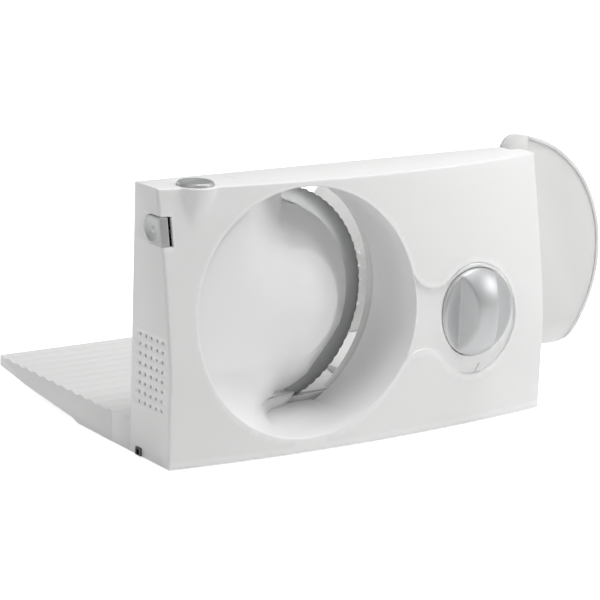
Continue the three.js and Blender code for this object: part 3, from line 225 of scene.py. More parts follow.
# A copy of a CAD solid with merged corners, flat faces made whole and softened edges
def finerCopy(name, node, width, angle):
    piece = nodes[node].copy()
    piece.data = nodes[node].data.copy()
    piece.name = name
    for key in list(piece.keys()):
        del piece[key]
    bpy.context.scene.collection.objects.link(piece)
    piece.parent = None
    inEditMode(
        piece,
        selectAll,
        mergeClose,
        lambda: bpy.ops.mesh.dissolve_limited(angle_limit=math.radians(meshing["flatWithin"])),
        facesOut,
    )
    return softened(piece, width, angle=angle)


# Materials
plasticDetail = {
    "cloudScale": 14, "cloudDetail": 4, "grainDetail": 2, "grainRelief": 0.00005,
    "patchScale": 45, "patchDetail": 5, "patchRoughness": 0.6, "patchStrength": 0.04, "patchRelief": 0.0002,
    "ridgeFrom": 0.52, "ridgeTo": 0.60,
}
steelDetail = {
    "lineDetail": 4, "lineRoughness": 0.7, "lineRelief": 0.00003, "smearScale": 25, "smearDetail": 4,
}


def mix(tree, kind, factor, first, second):
    node = tree.nodes.new("ShaderNodeMix")
    node.data_type = kind
    firstSlot, secondSlot, result = {"RGBA": (6, 7, 2), "FLOAT": (2, 3, 0)}[kind]
    tree.links.new(factor, node.inputs[0])
    if isinstance(first, bpy.types.NodeSocket):
        tree.links.new(first, node.inputs[firstSlot])
    else:
        node.inputs[firstSlot].default_value = first
    node.inputs[secondSlot].default_value = second
    return node.outputs[result]


def noise(tree, vector, scale, detail, roughness=0.5):
    node = tree.nodes.new("ShaderNodeTexNoise")
    node.inputs["Scale"].default_value = scale
    node.inputs["Detail"].default_value = detail
    node.inputs["Roughness"].default_value = roughness
    tree.links.new(vector, node.inputs["Vector"])
    return node.outputs["Fac"]


def startMaterial(name):
    material = bpy.data.materials.new(name)
    material.use_nodes = True
    tree = material.node_tree
    shader = tree.nodes["Principled BSDF"]
    place = tree.nodes.new("ShaderNodeTexCoord").outputs["Object"]
    return material, tree, shader, place


# Each relief has a height, its strength and its depth in metres
def addBump(tree, shader, reliefs):
    normal = None
    for height, strength, depth in reliefs:
        bump = tree.nodes.new("ShaderNodeBump")
        bump.inputs["Strength"].default_value = strength
        bump.inputs["Distance"].default_value = depth
        tree.links.new(height, bump.inputs["Height"])
        if normal:
            tree.links.new(normal, bump.inputs["Normal"])
        normal = bump.outputs["Normal"]
    tree.links.new(normal, shader.inputs["Normal"])


# Moulded plastic: fine spark grain, faint cloudiness, handled patches and paler worn edges
def plastic(name, look):
    material, tree, shader, place = startMaterial(name)
    d = plasticDetail
    cloud = noise(tree, place, d["cloudScale"], d["cloudDetail"])
    grain = noise(tree, place, look["grainScale"], d["grainDetail"])
    patches = noise(tree, place, d["patchScale"], d["patchDetail"], d["patchRoughness"])
    cloudy = [c * look["cloud"] for c in look["color"]]
    tone = mix(tree, "RGBA", cloud, (*look["color"], 1), (*cloudy, 1))
    worn = tree.nodes.new("ShaderNodeNewGeometry").outputs["Pointiness"]
    ridge = tree.nodes.new("ShaderNodeMapRange")
    ridge.inputs["From Min"].default_value = d["ridgeFrom"]
    ridge.inputs["From Max"].default_value = d["ridgeTo"]
    tree.links.new(worn, ridge.inputs["Value"])
    edged = mix(tree, "RGBA", ridge.outputs["Result"], tone, (*look["edgeColor"], 1))
    tree.links.new(edged, shader.inputs["Base Color"])
    tree.links.new(mix(tree, "FLOAT", patches, *look["rough"]), shader.inputs["Roughness"])
    shader.inputs["Metallic"].default_value = look.get("metal", 0)
    addBump(tree, shader, [(grain, look["grainDepth"], d["grainRelief"]),
                           (patches, d["patchStrength"], d["patchRelief"])])
    return material


# Ground steel with fine circular lines about the Y line through its middle
def turnedSteel(name, look):
    material, tree, shader, place = startMaterial(name)
    d = steelDetail
    mapping = tree.nodes.new("ShaderNodeMapping")
    mapping.inputs["Location"].default_value = look["middle"]
    tree.links.new(place, mapping.inputs["Vector"])
    flat = tree.nodes.new("ShaderNodeVectorMath")
    flat.operation = "MULTIPLY"
    flat.inputs[1].default_value = (1, 0, 1)
    tree.links.new(mapping.outputs["Vector"], flat.inputs[0])
    reach = tree.nodes.new("ShaderNodeVectorMath")
    reach.operation = "LENGTH"
    tree.links.new(flat.outputs["Vector"], reach.inputs[0])
    ring = tree.nodes.new("ShaderNodeCombineXYZ")
    tree.links.new(reach.outputs["Value"], ring.inputs[0])
    lines = noise(tree, ring.outputs["Vector"], look["lineScale"], d["lineDetail"], d["lineRoughness"])
    smears = noise(tree, place, d["smearScale"], d["smearDetail"])
    tone = mix(tree, "RGBA", lines, (*look["dark"], 1), (*look["color"], 1))
    tree.links.new(tone, shader.inputs["Base Color"])
    tree.links.new(mix(tree, "FLOAT", smears, *look["rough"]), shader.inputs["Roughness"])
    shader.inputs["Metallic"].default_value = 1
    addBump(tree, shader, [(lines, look["depth"], d["lineRelief"])])
    return material


whiteMatte = plastic("white matte moulding", {
    "color": (0.80, 0.80, 0.795), "cloud": 0.985, "edgeColor": (0.84, 0.84, 0.835), "rough": (0.42, 0.52),
    "grainScale": 2600, "grainDepth": 0.25,
})
# The stop plate's white is the housing's white painted darker: painted shade for the weaker light on its face.
# Its roughness is also a little lower.
satinPlatePaintedShade = plastic("white satin plate with painted shade", {
    "color": (0.68, 0.68, 0.675), "cloud": 0.98, "edgeColor": (0.78, 0.78, 0.775), "rough": (0.36, 0.46),
    "grainScale": 2000, "grainDepth": 0.15,
})
whiteGloss = plastic("white glossy moulding", {
    "color": (0.80, 0.80, 0.80), "cloud": 0.99, "edgeColor": (0.83, 0.83, 0.83), "rough": (0.42, 0.50),
    "grainScale": 900, "grainDepth": 0.03,
})
silverPlastic = plastic("silver-grey plastic", {
    "color": (0.45, 0.455, 0.46), "cloud": 0.97, "edgeColor": (0.58, 0.585, 0.59), "rough": (0.40, 0.48),
    "grainScale": 3200, "grainDepth": 0.18, "metal": 0.5,
})
naturalPlastic = plastic("natural gear plastic", {
    "color": (0.66, 0.62, 0.50), "cloud": 0.94, "edgeColor": (0.72, 0.68, 0.57), "rough": (0.38, 0.5),
    "grainScale": 1500, "grainDepth": 0.15,
})
blackPlastic = plastic("black plastic", {
    "color": (0.018, 0.018, 0.02), "cloud": 1.3, "edgeColor": (0.05, 0.05, 0.052), "rough": (0.4, 0.55),
    "grainScale": 1800, "grainDepth": 0.2,
})
rubberBlack = plastic("soft foot rubber", {
    "color": (0.04, 0.041, 0.043), "cloud": 1.25, "edgeColor": (0.07, 0.07, 0.073), "rough": (0.75, 0.9),
    "grainScale": 1300, "grainDepth": 0.5,
})
motorPaint = plastic("painted motor can", {
    "color": (0.26, 0.28, 0.30), "cloud": 0.9, "edgeColor": (0.45, 0.46, 0.47), "rough": (0.3, 0.42),
    "grainScale": 700, "grainDepth": 0.3, "metal": 0.5,
})
# The blade's sizes stand here, because the lines of its steel turn about its middle
blade = {"x": 113.5, "z": 103, "near": 51, "radius": 85, "thickness": 1.2, "hole": 7.8,
         "waves": 72, "stepsPerWave": 16, "wave": 0.9, "waveCurve": 1.5, "ground": 3.2, "edgeHalf": 0.05,
         "ringInner": 66, "ringOuter": 72.6, "ringSlope": 0.6, "ringDepth": 0.12}
bladeMiddle = at(blade["x"], 0, blade["z"])
bladeSteel = turnedSteel("ground blade steel", {
    "middle": -bladeMiddle, "lineScale": 1400, "dark": (0.30, 0.305, 0.31), "color": (0.50, 0.505, 0.50),
    "rough": (0.24, 0.36), "depth": 0.35,
})
pinSteel = turnedSteel("drawn pin steel", {
    "middle": (0, 0, 0), "lineScale": 2000, "dark": (0.42, 0.43, 0.44), "color": (0.58, 0.59, 0.60),
    "rough": (0.2, 0.32), "depth": 0.2,
})
darkSteel = turnedSteel("dark fastener steel", {
    "middle": (0, 0, 0), "lineScale": 1600, "dark": (0.12, 0.125, 0.13), "color": (0.22, 0.23, 0.24),
    "rough": (0.35, 0.5), "depth": 0.3,
})
print("materials ready")

# The housing's front: a leaning, crowned face with the boss of the top button
face = {"lean": 22.9, "leanStart": 0.35, "leanCurve": 1.25, "crownFoot": 11.8, "crownTop": 20.8}
topButton = {"x": 32.5, "y": 25.7, "radius": 13.4, "gap": 0.5, "crown": 201.6, "skirt": 194, "stem": 3,
             "stemEnd": 188, "cut": 190.5, "cutTop": 220, "sides": 96,
             "dish": [(0, 1.0), (1.2, 1.02), (2.6, 1.2), (4.5, 1.42), (6.5, 1.35), (8.2, 1.0), (9.6, 0.45),
                      (10.6, 0.12), (11.4, 0), (12.1, 0.12), (12.8, 0.5), (13.2, 1.0), (13.4, 1.8)]}
boss = {"radiusTop": 16.5, "radiusFoot": 13.8, "footZ": 176, "footX": 28, "sideFall": 2, "blend": 2.2}
well = {"radius": 91.5, "wall": 1.8, "end": 43, "mouth": 92.2, "mouthSides": 256}


def frontAt(x, z):
    along = (2 * x - housing["length"]) / housing["length"]
    up = z / housing["top"]
    lean = face["lean"] * max(0, (up - face["leanStart"]) / (1 - face["leanStart"])) ** face["leanCurve"]
    crown = face["crownFoot"] + (face["crownTop"] - face["crownFoot"]) * up
    return lean - crown * (1 - along * along)


def bossAt(x, z):
    up = (z - boss["footZ"]) / (housing["top"] - boss["footZ"])
    radius = boss["radiusFoot"] + (boss["radiusTop"] - boss["radiusFoot"]) * up
    off = abs(x - (boss["footX"] + (topButton["x"] - boss["footX"]) * up))
    if off < radius:
        return topButton["y"] - math.sqrt(radius ** 2 - off ** 2)
    return topButton["y"] + boss["sideFall"] * (off - radius)


# The smaller of two depths, with a round change from one to the other
def blended(first, second, width):
    share = max(width - abs(first - second), 0) / width
    return min(first, second) - share * share * width / 4


def faceAt(x, z):
    return blended(frontAt(x, z), bossAt(x, z), boss["blend"])


def outerAt(x, z):
    edge = housing["edge"]
    inside = max(edge - min(x, housing["length"] - x, housing["top"] - z), 0)
    return faceAt(x, z) + (edge - math.sqrt(max(edge ** 2 - inside ** 2, 0)))


# Outlines
recess = {"x": 265, "z": 82.5, "radius": 42.7, "fillet": 24, "depth": 1.8, "backing": 4.4, "border": 3,
          "left": 173.5, "right": 315, "low": 30, "high": 135, "columns": 60, "rows": 50, "cutEnd": 30,
          "roundSteps": 96, "filletSteps": 28}
stop = {"near": 52.2, "thickness": 2.2, "x": 337, "z": 105.5, "radius": 102.6, "bottom": 33.5, "top": 195.4,
        "shoulderX": 331, "shoulder": 12, "foot": 26, "ring": 94.7, "ringSteps": 120, "shoulderSteps": 20,
        "roundSteps": 90, "footSteps": 28, "play": 1, "playFront": 40.2, "sunk": 1,
        "pad": 1.4, "padLeft": 5, "padWidth": 26, "padLow": 191, "padHigh": 230,
        "rim": 2.6, "rimDepth": 0.8, "rimSides": 180, "rimRight": 500, "rimHigh": 300,
        "collar": 2, "collarNear": 39, "collarLow": -0.146, "collarShort": 0.02, "collarSteps": 160,
        "collarLip": 1.3, "collarBevel": (4, 8.5), "collarBack": 0.3}


def angleTo(a, b):
    return math.atan2(b[1] - a[1], b[0] - a[0])


# The middle of a fillet that touches both circles from outside
def filletBetween(a, radiusA, b, radiusB, fillet, side):
    span = math.hypot(b[0] - a[0], b[1] - a[1])
    along = ((radiusA + fillet) ** 2 - (radiusB + fillet) ** 2 + span ** 2) / (2 * span)
    across = side * math.sqrt((radiusA + fillet) ** 2 - along ** 2)
    ux, uz = (b[0] - a[0]) / span, (b[1] - a[1]) / span
    return (a[0] + ux * along - uz * across, a[1] + uz * along + ux * across)


# The end angle, a full turn on where the arc would otherwise run the wrong way
def swept(start, end, clockwise):
    if clockwise and end > start:
        end -= fullTurn
    if not clockwise and end < start:
        end += fullTurn
    return end


def recessOutline(grow):
    wellAt = (blade["x"], blade["z"])
    knobAt = (recess["x"], recess["z"])
    upper = filletBetween(wellAt, well["radius"], knobAt, recess["radius"], recess["fillet"], 1)
    lower = filletBetween(wellAt, well["radius"], knobAt, recess["radius"], recess["fillet"], -1)
    fillet = recess["fillet"] - grow
    points = [wellAt]
    for middle, radius, before, after, clockwise, steps in (
        (lower, fillet, wellAt, knobAt, True, recess["filletSteps"]),
        (knobAt, recess["radius"] + grow, lower, upper, False, recess["roundSteps"]),
        (upper, fillet, knobAt, wellAt, True, recess["filletSteps"]),
    ):
        start = angleTo(middle, before)
        points += arc(*middle, radius, start, swept(start, angleTo(middle, after), clockwise), steps)
    return points


def stopOutline(grow):
    ring = stop["ring"] - grow
    low = stop["bottom"] - grow
    high = stop["top"] + grow
    shoulderX = stop["shoulderX"] - grow
    outer = stop["radius"] + grow
    shoulder = stop["shoulder"] + grow
    corner = stop["foot"] + grow
    middle = (stop["x"], stop["z"])
    sx = shoulderX + shoulder
    shoulderAt = (sx, middle[1] + math.sqrt((outer - shoulder) ** 2 - (sx - middle[0]) ** 2))
    cz = low + corner
    cornerAt = (middle[0] + math.sqrt((outer - corner) ** 2 - (cz - middle[1]) ** 2), cz)
    ringLow = math.asin((low - blade["z"]) / ring)
    ringHigh = math.asin(min((high - blade["z"]) / ring, 1))
    points = arc(blade["x"], blade["z"], ring, ringLow, ringHigh, stop["ringSteps"])
    rise = max(high - shoulderAt[1], 0) / shoulder
    if not rise:
        points.append((shoulderX, high))
    toShoulder = angleTo(middle, shoulderAt)
    toCorner = angleTo(middle, cornerAt)
    toFoot = swept(toCorner, -quarterTurn, True)
    points += arc(*shoulderAt, shoulder, math.pi - math.asin(rise), toShoulder, stop["shoulderSteps"])
    points += arc(*middle, outer, toShoulder, swept(toShoulder, toCorner, True), stop["roundSteps"])[1:]
    points += arc(*cornerAt, corner, toCorner, toFoot, stop["footSteps"])[1:]
    return points


# Front shell, with the openings for the pieces that it holds
shellNet = {"roundSteps": 5, "bossRight": 62, "bossFoot": 168, "bossColumns": 34, "bossRows": 18,
            "columns": 90, "rows": 46, "cavityLow": -10, "cavityColumns": 68, "cavityRows": 42}
seam = {"place": 1.5, "width": 0.6, "depth": 1.2, "left": -1, "past": 2, "steps": 90}
topLine = {"x": 49, "y": 35, "radius": 20.6, "width": 0.8, "start": -0.15, "end": 0.8, "depth": 1.2, "past": 2,
           "steps": 24}
sideButton = {"bottom": 159, "top": 180, "back": 40.5, "slot": 8, "slotSteps": 40, "left": -60, "inner": 5.2,
              "proud": 1, "gap": 0.5, "steps": 48, "faceLeft": -4, "faceRight": 12, "faceBorder": 6,
              "faceColumns": 8, "faceRows": 16, "soft": 0.7,
              "dish": 8.6, "dishDepth": 1.5, "dishY": 28.7, "ballSegments": 160, "ballRings": 120,
              "knopSink": 0.5, "knopSteps": 48,
              "knop": [(0, 0), (1.2, 0.06), (2.4, 0.35), (3.2, 0.6), (0, 0.6)],
              "stem": 3, "stemSides": 32, "stemZ": 165, "stemSink": 0.5, "stemEnd": 16.5}
vent = {"radius": 1.4, "sides": 14, "columns": 5, "rows": 8, "y": 11.7, "pitchY": 7.5, "z": 41.3, "pitchZ": 7.1,
        "left": -5, "past": 2}
outlet = {"near": 37, "far": 45, "low": -5, "top": 7, "inner": 8.5}
knob = {"x": 265, "z": 88, "radius": 33.5, "gap": 0.7, "base": -2, "rim": -10.5, "dome": 14.5,
        "pocketFloor": -1.5, "pocketSides": 160, "cupFront": -6.2, "cupBack": 1, "spindleHole": 5,
        "spindleSides": 40, "ridge": 8.2, "ridgeDrop": 0.5, "valley": 17, "valleyY": -10.3, "rimY": -13.3,
        "soft": 2.2, "corner": 0.5, "least": 1, "steps": 110, "nearRim": 0.01}


def sideOutline():
    radius = (sideButton["top"] - sideButton["bottom"]) / 2
    middle = (sideButton["top"] + sideButton["bottom"]) / 2
    left, noseX = sideButton["left"], sideButton["back"] - radius
    nose = arc(noseX, middle, radius, -quarterTurn, quarterTurn, sideButton["slotSteps"])
    return [(left, middle - radius)] + nose + [(left, middle + radius)]


def edgeRounds():
    steps = shellNet["roundSteps"]
    return [housing["edge"] * (1 - math.cos(quarterTurn * k / steps)) for k in range(steps)]


# Closer lines where the boss and the rounded edges bend
def frontColumns():
    edge, length, rounds = housing["edge"], housing["length"], edgeRounds()
    atBoss = spaced(edge, shellNet["bossRight"], shellNet["bossColumns"])
    beyond = spaced(shellNet["bossRight"], length - edge, shellNet["columns"])[1:]
    return rounds + atBoss + beyond + [length - r for r in reversed(rounds)]


def frontRows():
    edge, top, rounds = housing["edge"], housing["top"], edgeRounds()
    below = spaced(housing["bottom"], shellNet["bossFoot"], shellNet["rows"])
    atBoss = spaced(shellNet["bossFoot"], top - edge, shellNet["bossRows"])[1:]
    return below + atBoss + [top - r for r in reversed(rounds)]


# A solid whose front follows surface(x, z) and whose back is flat or follows far(x, z)
def frontBlock(name, columns, rows, surface, far):
    piece = netPiece(name, len(columns) - 1, len(rows) - 1,
                     lambda i, j: at(columns[i], surface(columns[i], rows[j]), rows[j]))
    inEditMode(piece, selectAll, pulledOut((0, mm, 0)))
    for vertex in piece.data.vertices:
        if vertex.select:
            x, z = (vertex.co.x - leftEnd) / mm, vertex.co.z / mm
            vertex.co.y = at(0, far(x, z) if callable(far) else far, 0).y
    return closeUp(piece)


# The fine gap between the left end panel and the front
def seamTool():
    rows = spaced(-seam["past"], housing["top"] + seam["past"], seam["steps"])
    return frontBlock("tool", [seam["left"], seam["depth"]], rows, lambda x, z: frontAt(0, z) + seam["place"],
                      lambda x, z: frontAt(0, z) + seam["place"] + seam["width"])


# The fine curved line on the top, beside the button
def topLineTool():
    x, y, radius, start, end = (topLine[k] for k in ("x", "y", "radius", "start", "end"))
    inner = arc(x, y, radius, start, end, topLine["steps"])
    outer = arc(x, y, radius + topLine["width"], end, start, topLine["steps"])
    low, high = housing["top"] - topLine["depth"], housing["top"] + topLine["past"]
    return prism("tool", inner + outer, low, high, "Z")


def cavityTool():
    wall = housing["wall"]
    columns = spaced(wall, housing["length"] - wall, shellNet["cavityColumns"])
    rows = spaced(shellNet["cavityLow"], housing["top"] - wall, shellNet["cavityRows"])
    return frontBlock("tool", columns, rows, lambda x, z: faceAt(x, z) + wall, toolEnds["behind"])


# The sunk floor that links the well and the knob
def recessFloor():
    columns = spaced(recess["left"], recess["right"], recess["columns"])
    rows = spaced(recess["low"], recess["high"], recess["rows"])
    floor = faceToFront(netPiece("floor", recess["columns"], recess["rows"], lambda i, j: at(
        columns[i], frontAt(columns[i], rows[j]) + recess["depth"], rows[j])))
    thickened(floor, recess["backing"] - recess["depth"])
    border = prism("tool", recessOutline(recess["border"]), toolEnds["ahead"], toolEnds["inside"])
    return combine(floor, border, "INTERSECT")


def ventTools():
    tools = []
    for column in range(vent["columns"]):
        for row in range(vent["rows"]):
            hole = circle(vent["y"] + column * vent["pitchY"], vent["z"] + row * vent["pitchZ"],
                          vent["radius"], vent["sides"])
            tools.append(prism("tool", hole, vent["left"], housing["wall"] + vent["past"], "X"))
    return tools


def buildFrontShell():
    ahead, behind = toolEnds["ahead"], toolEnds["behind"]
    pocket = knob["radius"] + knob["gap"]
    shell = frontBlock("frontShell", frontColumns(), frontRows(), outerAt, housing["depth"])
    combine(shell, cavityTool())
    combine(shell, prism("tool", recessOutline(0), ahead, recess["cutEnd"]))
    combine(shell, recessFloor(), "UNION")
    cup = rod("cup", knob["x"], knob["z"], pocket + housing["wall"], knob["cupFront"], knob["cupBack"])
    combine(shell, cup, "UNION")
    combine(shell, rod("tool", blade["x"], blade["z"], well["mouth"], ahead, behind, well["mouthSides"]))
    combine(shell, rod("tool", knob["x"], knob["z"], pocket, ahead, knob["pocketFloor"], knob["pocketSides"]))
    combine(shell, prism("tool", stopOutline(stop["play"]), stop["playFront"], behind))
    buttonHole = circle(topButton["x"], topButton["y"], topButton["radius"] + topButton["gap"],
                        topButton["sides"])
    outletHole = [(outlet["near"], outlet["low"]), (outlet["far"], outlet["low"]),
                  (outlet["far"], outlet["top"]), (outlet["near"], outlet["top"])]
    tools = [
        rod("tool", knob["x"], knob["z"], knob["spindleHole"], ahead, toolEnds["inside"], knob["spindleSides"]),
        prism("tool", buttonHole, topButton["cut"], topButton["cutTop"], "Z"),
        prism("tool", sideOutline(), toolEnds["left"], sideButton["slot"], "X"),
        prism("tool", outletHole, toolEnds["left"], outlet["inner"], "X"),
        topLineTool(),
    ]
    combine(shell, seamTool())
    combine(shell, joined(tools + ventTools()))
    softened(shell, width=0.35, angle=40)
    return finished(shell, "housing", "white_matte", whiteMatte, "front_shell")


buildFrontShell()
print("front shell made")

# Guard: the well's wall, the cover over the drive and the sill at its foot
guard = {"arcShift": 5.6, "arcRadius": 73.2, "footX": 131.2, "footZ": 20.7, "slope": 1.2465, "topX": 119.8,
         "thickness": 2.2, "lip": 2, "roll": 32, "rollWidth": 72, "rollCurve": 1.6, "rimDrop": 3,
         "fadeHeight": 45, "fadeLeast": 0.15, "back": 46.7, "dip": 56, "blend": 1.5,
         "fillet": 22, "filletShare": 0.8, "filletFade": 36, "lineSteps": 180,
         "driveRadius": 42, "driveDepth": 20, "driveRise": 1.05, "driveBlend": 4,
         "reach": 0.985, "columns": 84, "rows": 150}
# The wall's section: its radius, the end that its depth counts from, and the depth
wallSection = [(93.3, "front", 1), (92.6, "front", 0.6), (92.2, "front", 0.02), (91.9, "front", 0.06),
               (91.65, "front", 0.25), (91.5, "front", 0.7), (91.5, "back", -0.4), (91.8, "back", 0),
               (93.3, "back", 0), (93.3, "front", 1)]
wallNet = {"steps": 288, "recessReach": 18, "recessZ": 90, "recessHalf": 12}
sill = {"foot": 8, "lift": 0.04, "overlap": 0.8, "rodFront": -60, "columns": 60, "rows": 40}


# The cover's free edge: an arc beside the blade, then a straight line down to the foot
def edgeX(z):
    line = guard["footX"] + (z - guard["footZ"]) / guard["slope"]
    half = guard["arcRadius"] ** 2 - (z - blade["z"]) ** 2
    middle = blade["x"] - guard["arcShift"]
    rounded = middle + math.sqrt(half) if half > 0 else guard["topX"]
    if z > blade["z"]:
        return max(rounded, guard["topX"])
    return min(rounded if half > 0 else line, line)


wellMiddle = (blade["x"], blade["z"])
edgeHeights = spaced(blade["z"] - well["radius"], blade["z"] + well["radius"], guard["lineSteps"])
edgeLine = np.array([(edgeX(z), z) for z in edgeHeights])
rimLine = np.array(arc(*wellMiddle, well["radius"], angleTo(wellMiddle, edgeLine[-1]),
                       angleTo(wellMiddle, edgeLine[0]) + fullTurn, guard["lineSteps"]))


def distanceTo(line, x, z):
    start, run = line[:-1], np.diff(line, axis=0)
    away = np.array((x, z)) - start
    share = np.clip((away * run).sum(1) / (run * run).sum(1), 0, 1)
    return float(np.hypot(*(away - run * share[:, None]).T).min())


# The cover's outer depth: a roll along the free edge, a fillet into the wall, and room for the drive
def guardAt(x, z):
    fromMiddle = math.hypot(x - blade["x"], z - blade["z"])
    toEdge = distanceTo(edgeLine, x, z)
    toRim = distanceTo(rimLine, x, z) if fromMiddle < well["radius"] else 0
    toEnd = min(math.hypot(x - edgeLine[k][0], z - edgeLine[k][1]) for k in (0, -1))
    fade = min(max((z - guard["footZ"]) / guard["fadeHeight"], guard["fadeLeast"]), 1)
    inRoll = min(toEdge / (guard["rollWidth"] * fade), 1)
    foot = guard["back"] - guard["lip"]
    roll = foot - guard["roll"] * fade * (1 - (1 - inRoll) ** guard["rollCurve"])
    front = frontAt(x, z) + guard["rimDrop"]
    rim = lerp(foot, front, smooth(toEnd / guard["dip"]))
    depth = lerp(roll, rim, (toEdge / (toEdge + toRim + meshing["tiny"])) ** guard["blend"])
    beyond = max(fromMiddle - guard["driveRadius"], 0)
    depth = blended(depth, guard["driveDepth"] + guard["driveRise"] * beyond, guard["driveBlend"])
    fillet = min(max((depth - front) * guard["filletShare"], 0), guard["fillet"])
    fillet *= smooth(toEdge / guard["filletFade"])
    if toRim < fillet:
        depth -= fillet * (1 - math.sqrt(1 - (1 - toRim / fillet) ** 2))
    return depth


def coverSheet():
    radius = well["radius"] + well["wall"] / 2
    reach = quarterTurn * guard["reach"]
    angles = spaced(-reach, reach, guard["rows"])
    shares = [(1 - math.cos(math.pi * k / guard["columns"])) / 2 for k in range(guard["columns"] + 1)]

    def place(i, j):
        z = blade["z"] + radius * math.sin(angles[j])
        left = blade["x"] - radius * math.cos(angles[j])
        x = lerp(left, max(edgeX(z), left + meshing["tiny"]), shares[i])
        return at(x, guardAt(x, z), z)

    cover = faceToFront(netPiece("bladeGuard", guard["columns"], guard["rows"], place))
    return thickened(cover, guard["thickness"])


def wellWall():
    def place(i, j):
        angle = fullTurn * i / wallNet["steps"]
        radius, end, more = wallSection[j]
        x, z = blade["x"] + radius * math.cos(angle), blade["z"] + radius * math.sin(angle)
        nearKnob = math.hypot(x - recess["x"], z - recess["z"]) < recess["radius"] + wallNet["recessReach"]
        inRecess = nearKnob and abs(z - wallNet["recessZ"]) < wallNet["recessHalf"]
        front = frontAt(x, z) + (recess["depth"] if inRecess else 0)
        return at(x, (front if end == "front" else well["end"]) + more, z)

    return closeUp(netPiece("wall", wallNet["steps"], len(wallSection) - 1, place))


# The foot of the well's wall, which rises smoothly to a level sill at its back
def wellSill():
    half = math.sqrt(well["radius"] ** 2 - (blade["z"] - guard["footZ"]) ** 2)
    far = well["end"] + guard["thickness"]

    def place(i, j):
        off, y = lerp(-half, half, i / sill["columns"]), lerp(0, far, j / sill["rows"])
        low = blade["z"] - math.sqrt(well["radius"] ** 2 - off ** 2)
        return at(blade["x"] + off, y, lerp(low, guard["footZ"], smooth(y / well["end"])) + sill["lift"])

    piece = netPiece("sill", sill["columns"], sill["rows"], place)
    inEditMode(piece, selectAll, pulledOut((0, 0, -mm)))
    for vertex in piece.data.vertices:
        if vertex.select:
            vertex.co.z = sill["foot"] * mm
    closeUp(piece)
    bore = rod("tool", *wellMiddle, well["radius"] + sill["overlap"], sill["rodFront"], toolEnds["behind"],
               well["mouthSides"])
    return combine(piece, bore, "INTERSECT")


def buildGuard():
    whole = joined([coverSheet(), wellWall(), wellSill()])
    softened(whole, angle=40)
    return finished(whole, "housing", "white_gloss", whiteGloss, "blade_guard")


buildGuard()
print("guard made")

# Drive carrier and its right screw, shaped to the cover above them
drive = {"left": 58, "right": 162, "low": 68, "high": 138, "columns": 52, "rows": 35, "back": 60,
         "slopeStep": 0.5, "room": 0.3}


# The cover's inner face, with a little room
def underGuard(x, z):
    step, depth = drive["slopeStep"], guardAt(x, z)
    slopeX = (guardAt(x + step, z) - depth) / step
    slopeZ = (guardAt(x, z + step) - depth) / step
    return depth + guard["thickness"] * math.sqrt(1 + slopeX ** 2 + slopeZ ** 2) + drive["room"]


def buildCarrier():
    columns = spaced(drive["left"], drive["right"], drive["columns"])
    rows = spaced(drive["low"], drive["high"], drive["rows"])
    for name, node, slot, material in (
        ("driveCarrier", "gear_carrier", "natural_plastic", naturalPlastic),
        ("driveScrew", "carrier_screw_3", "dark_steel", darkSteel),
    ):
        piece = finerCopy(name, node, width=0, angle=35)
        combine(piece, frontBlock("tool", columns, rows, underGuard, drive["back"]), "INTERSECT")
        softened(piece)
        finished(piece, "housing", slot, material, node)


buildCarrier()
print("drive carrier made")


# Knob: a dome with two scooped sides and a finger ridge between them
def scoopY(x):
    off, ridge, valley = abs(x), knob["ridge"], knob["valley"]
    top = knob["rim"] - knob["dome"] - knob["ridgeDrop"]
    if off < valley:
        return lerp(top, knob["valleyY"], max(off - ridge, 0) / (valley - ridge))
    return lerp(knob["valleyY"], knob["rimY"], ((off - valley) / (knob["radius"] - valley)) ** 2)


def knobFace(x, z):
    ball = (knob["radius"] ** 2 + knob["dome"] ** 2) / (2 * knob["dome"])
    dome = knob["rim"] - knob["dome"] + ball - math.sqrt(ball ** 2 - min(x * x + z * z, knob["radius"] ** 2))
    return -blended(-dome, -scoopY(x), knob["soft"])


def selectRim(piece, chosen):
    for item in list(piece.data.vertices) + list(piece.data.polygons):
        item.select = False
    for edge in piece.data.edges:
        edge.select = all(k in chosen for k in edge.vertices)


def buildKnob():
    steps, faceRadius = knob["steps"], knob["radius"] - knob["corner"]
    middleX, middleZ = at(knob["x"], 0, 0).x, knob["z"] * mm

    def place(i, j):
        u, v = 2 * i / steps - 1, 2 * j / steps - 1
        x = u * math.sqrt(1 - v * v / 2) * faceRadius
        z = v * math.sqrt(1 - u * u / 2) * faceRadius
        return at(knob["x"] + x, min(knobFace(x, z), knob["base"] - knob["least"]), knob["z"] + z)

    piece = faceToFront(netPiece("thicknessKnob", steps, steps, place))
    chosen = {v.index for v in piece.data.vertices
              if abs(math.hypot(v.co.x - middleX, v.co.z - middleZ) - faceRadius * mm) < knob["nearRim"] * mm}
    bpy.context.tool_settings.mesh_select_mode = (False, True, False)
    for radius, depth in (
        (knob["radius"], None),  # the rounded corner, as deep as the face plus its own size
        (knob["radius"], knob["base"]),  # the side
        (0, knob["base"]),  # the underside
    ):
        selectRim(piece, chosen)
        inEditMode(piece, lambda: bpy.ops.mesh.extrude_edges_move(TRANSFORM_OT_translate={"value": (0, 0, 0)}))
        chosen = {v.index for v in piece.data.vertices if v.select}
        for k in chosen:
            co = piece.data.vertices[k].co
            dx, dz = co.x - middleX, co.z - middleZ
            stretch = radius * mm / math.hypot(dx, dz) - 1
            co.x += dx * stretch
            co.z += dz * stretch
            co.y = co.y + knob["corner"] * mm if depth is None else at(0, depth, 0).y
    closeUp(piece)
    softened(piece, angle=50)
    return finished(piece, "knob", "silver_plastic", silverPlastic, "thickness_knob")


buildKnob()
print("knob made")

# The raised arrow under the knob
dialMark = {"x": 271.4, "z": 40.6, "width": 8, "height": 6.4, "proud": 1.1, "sunk": 1, "soft": 0.1}


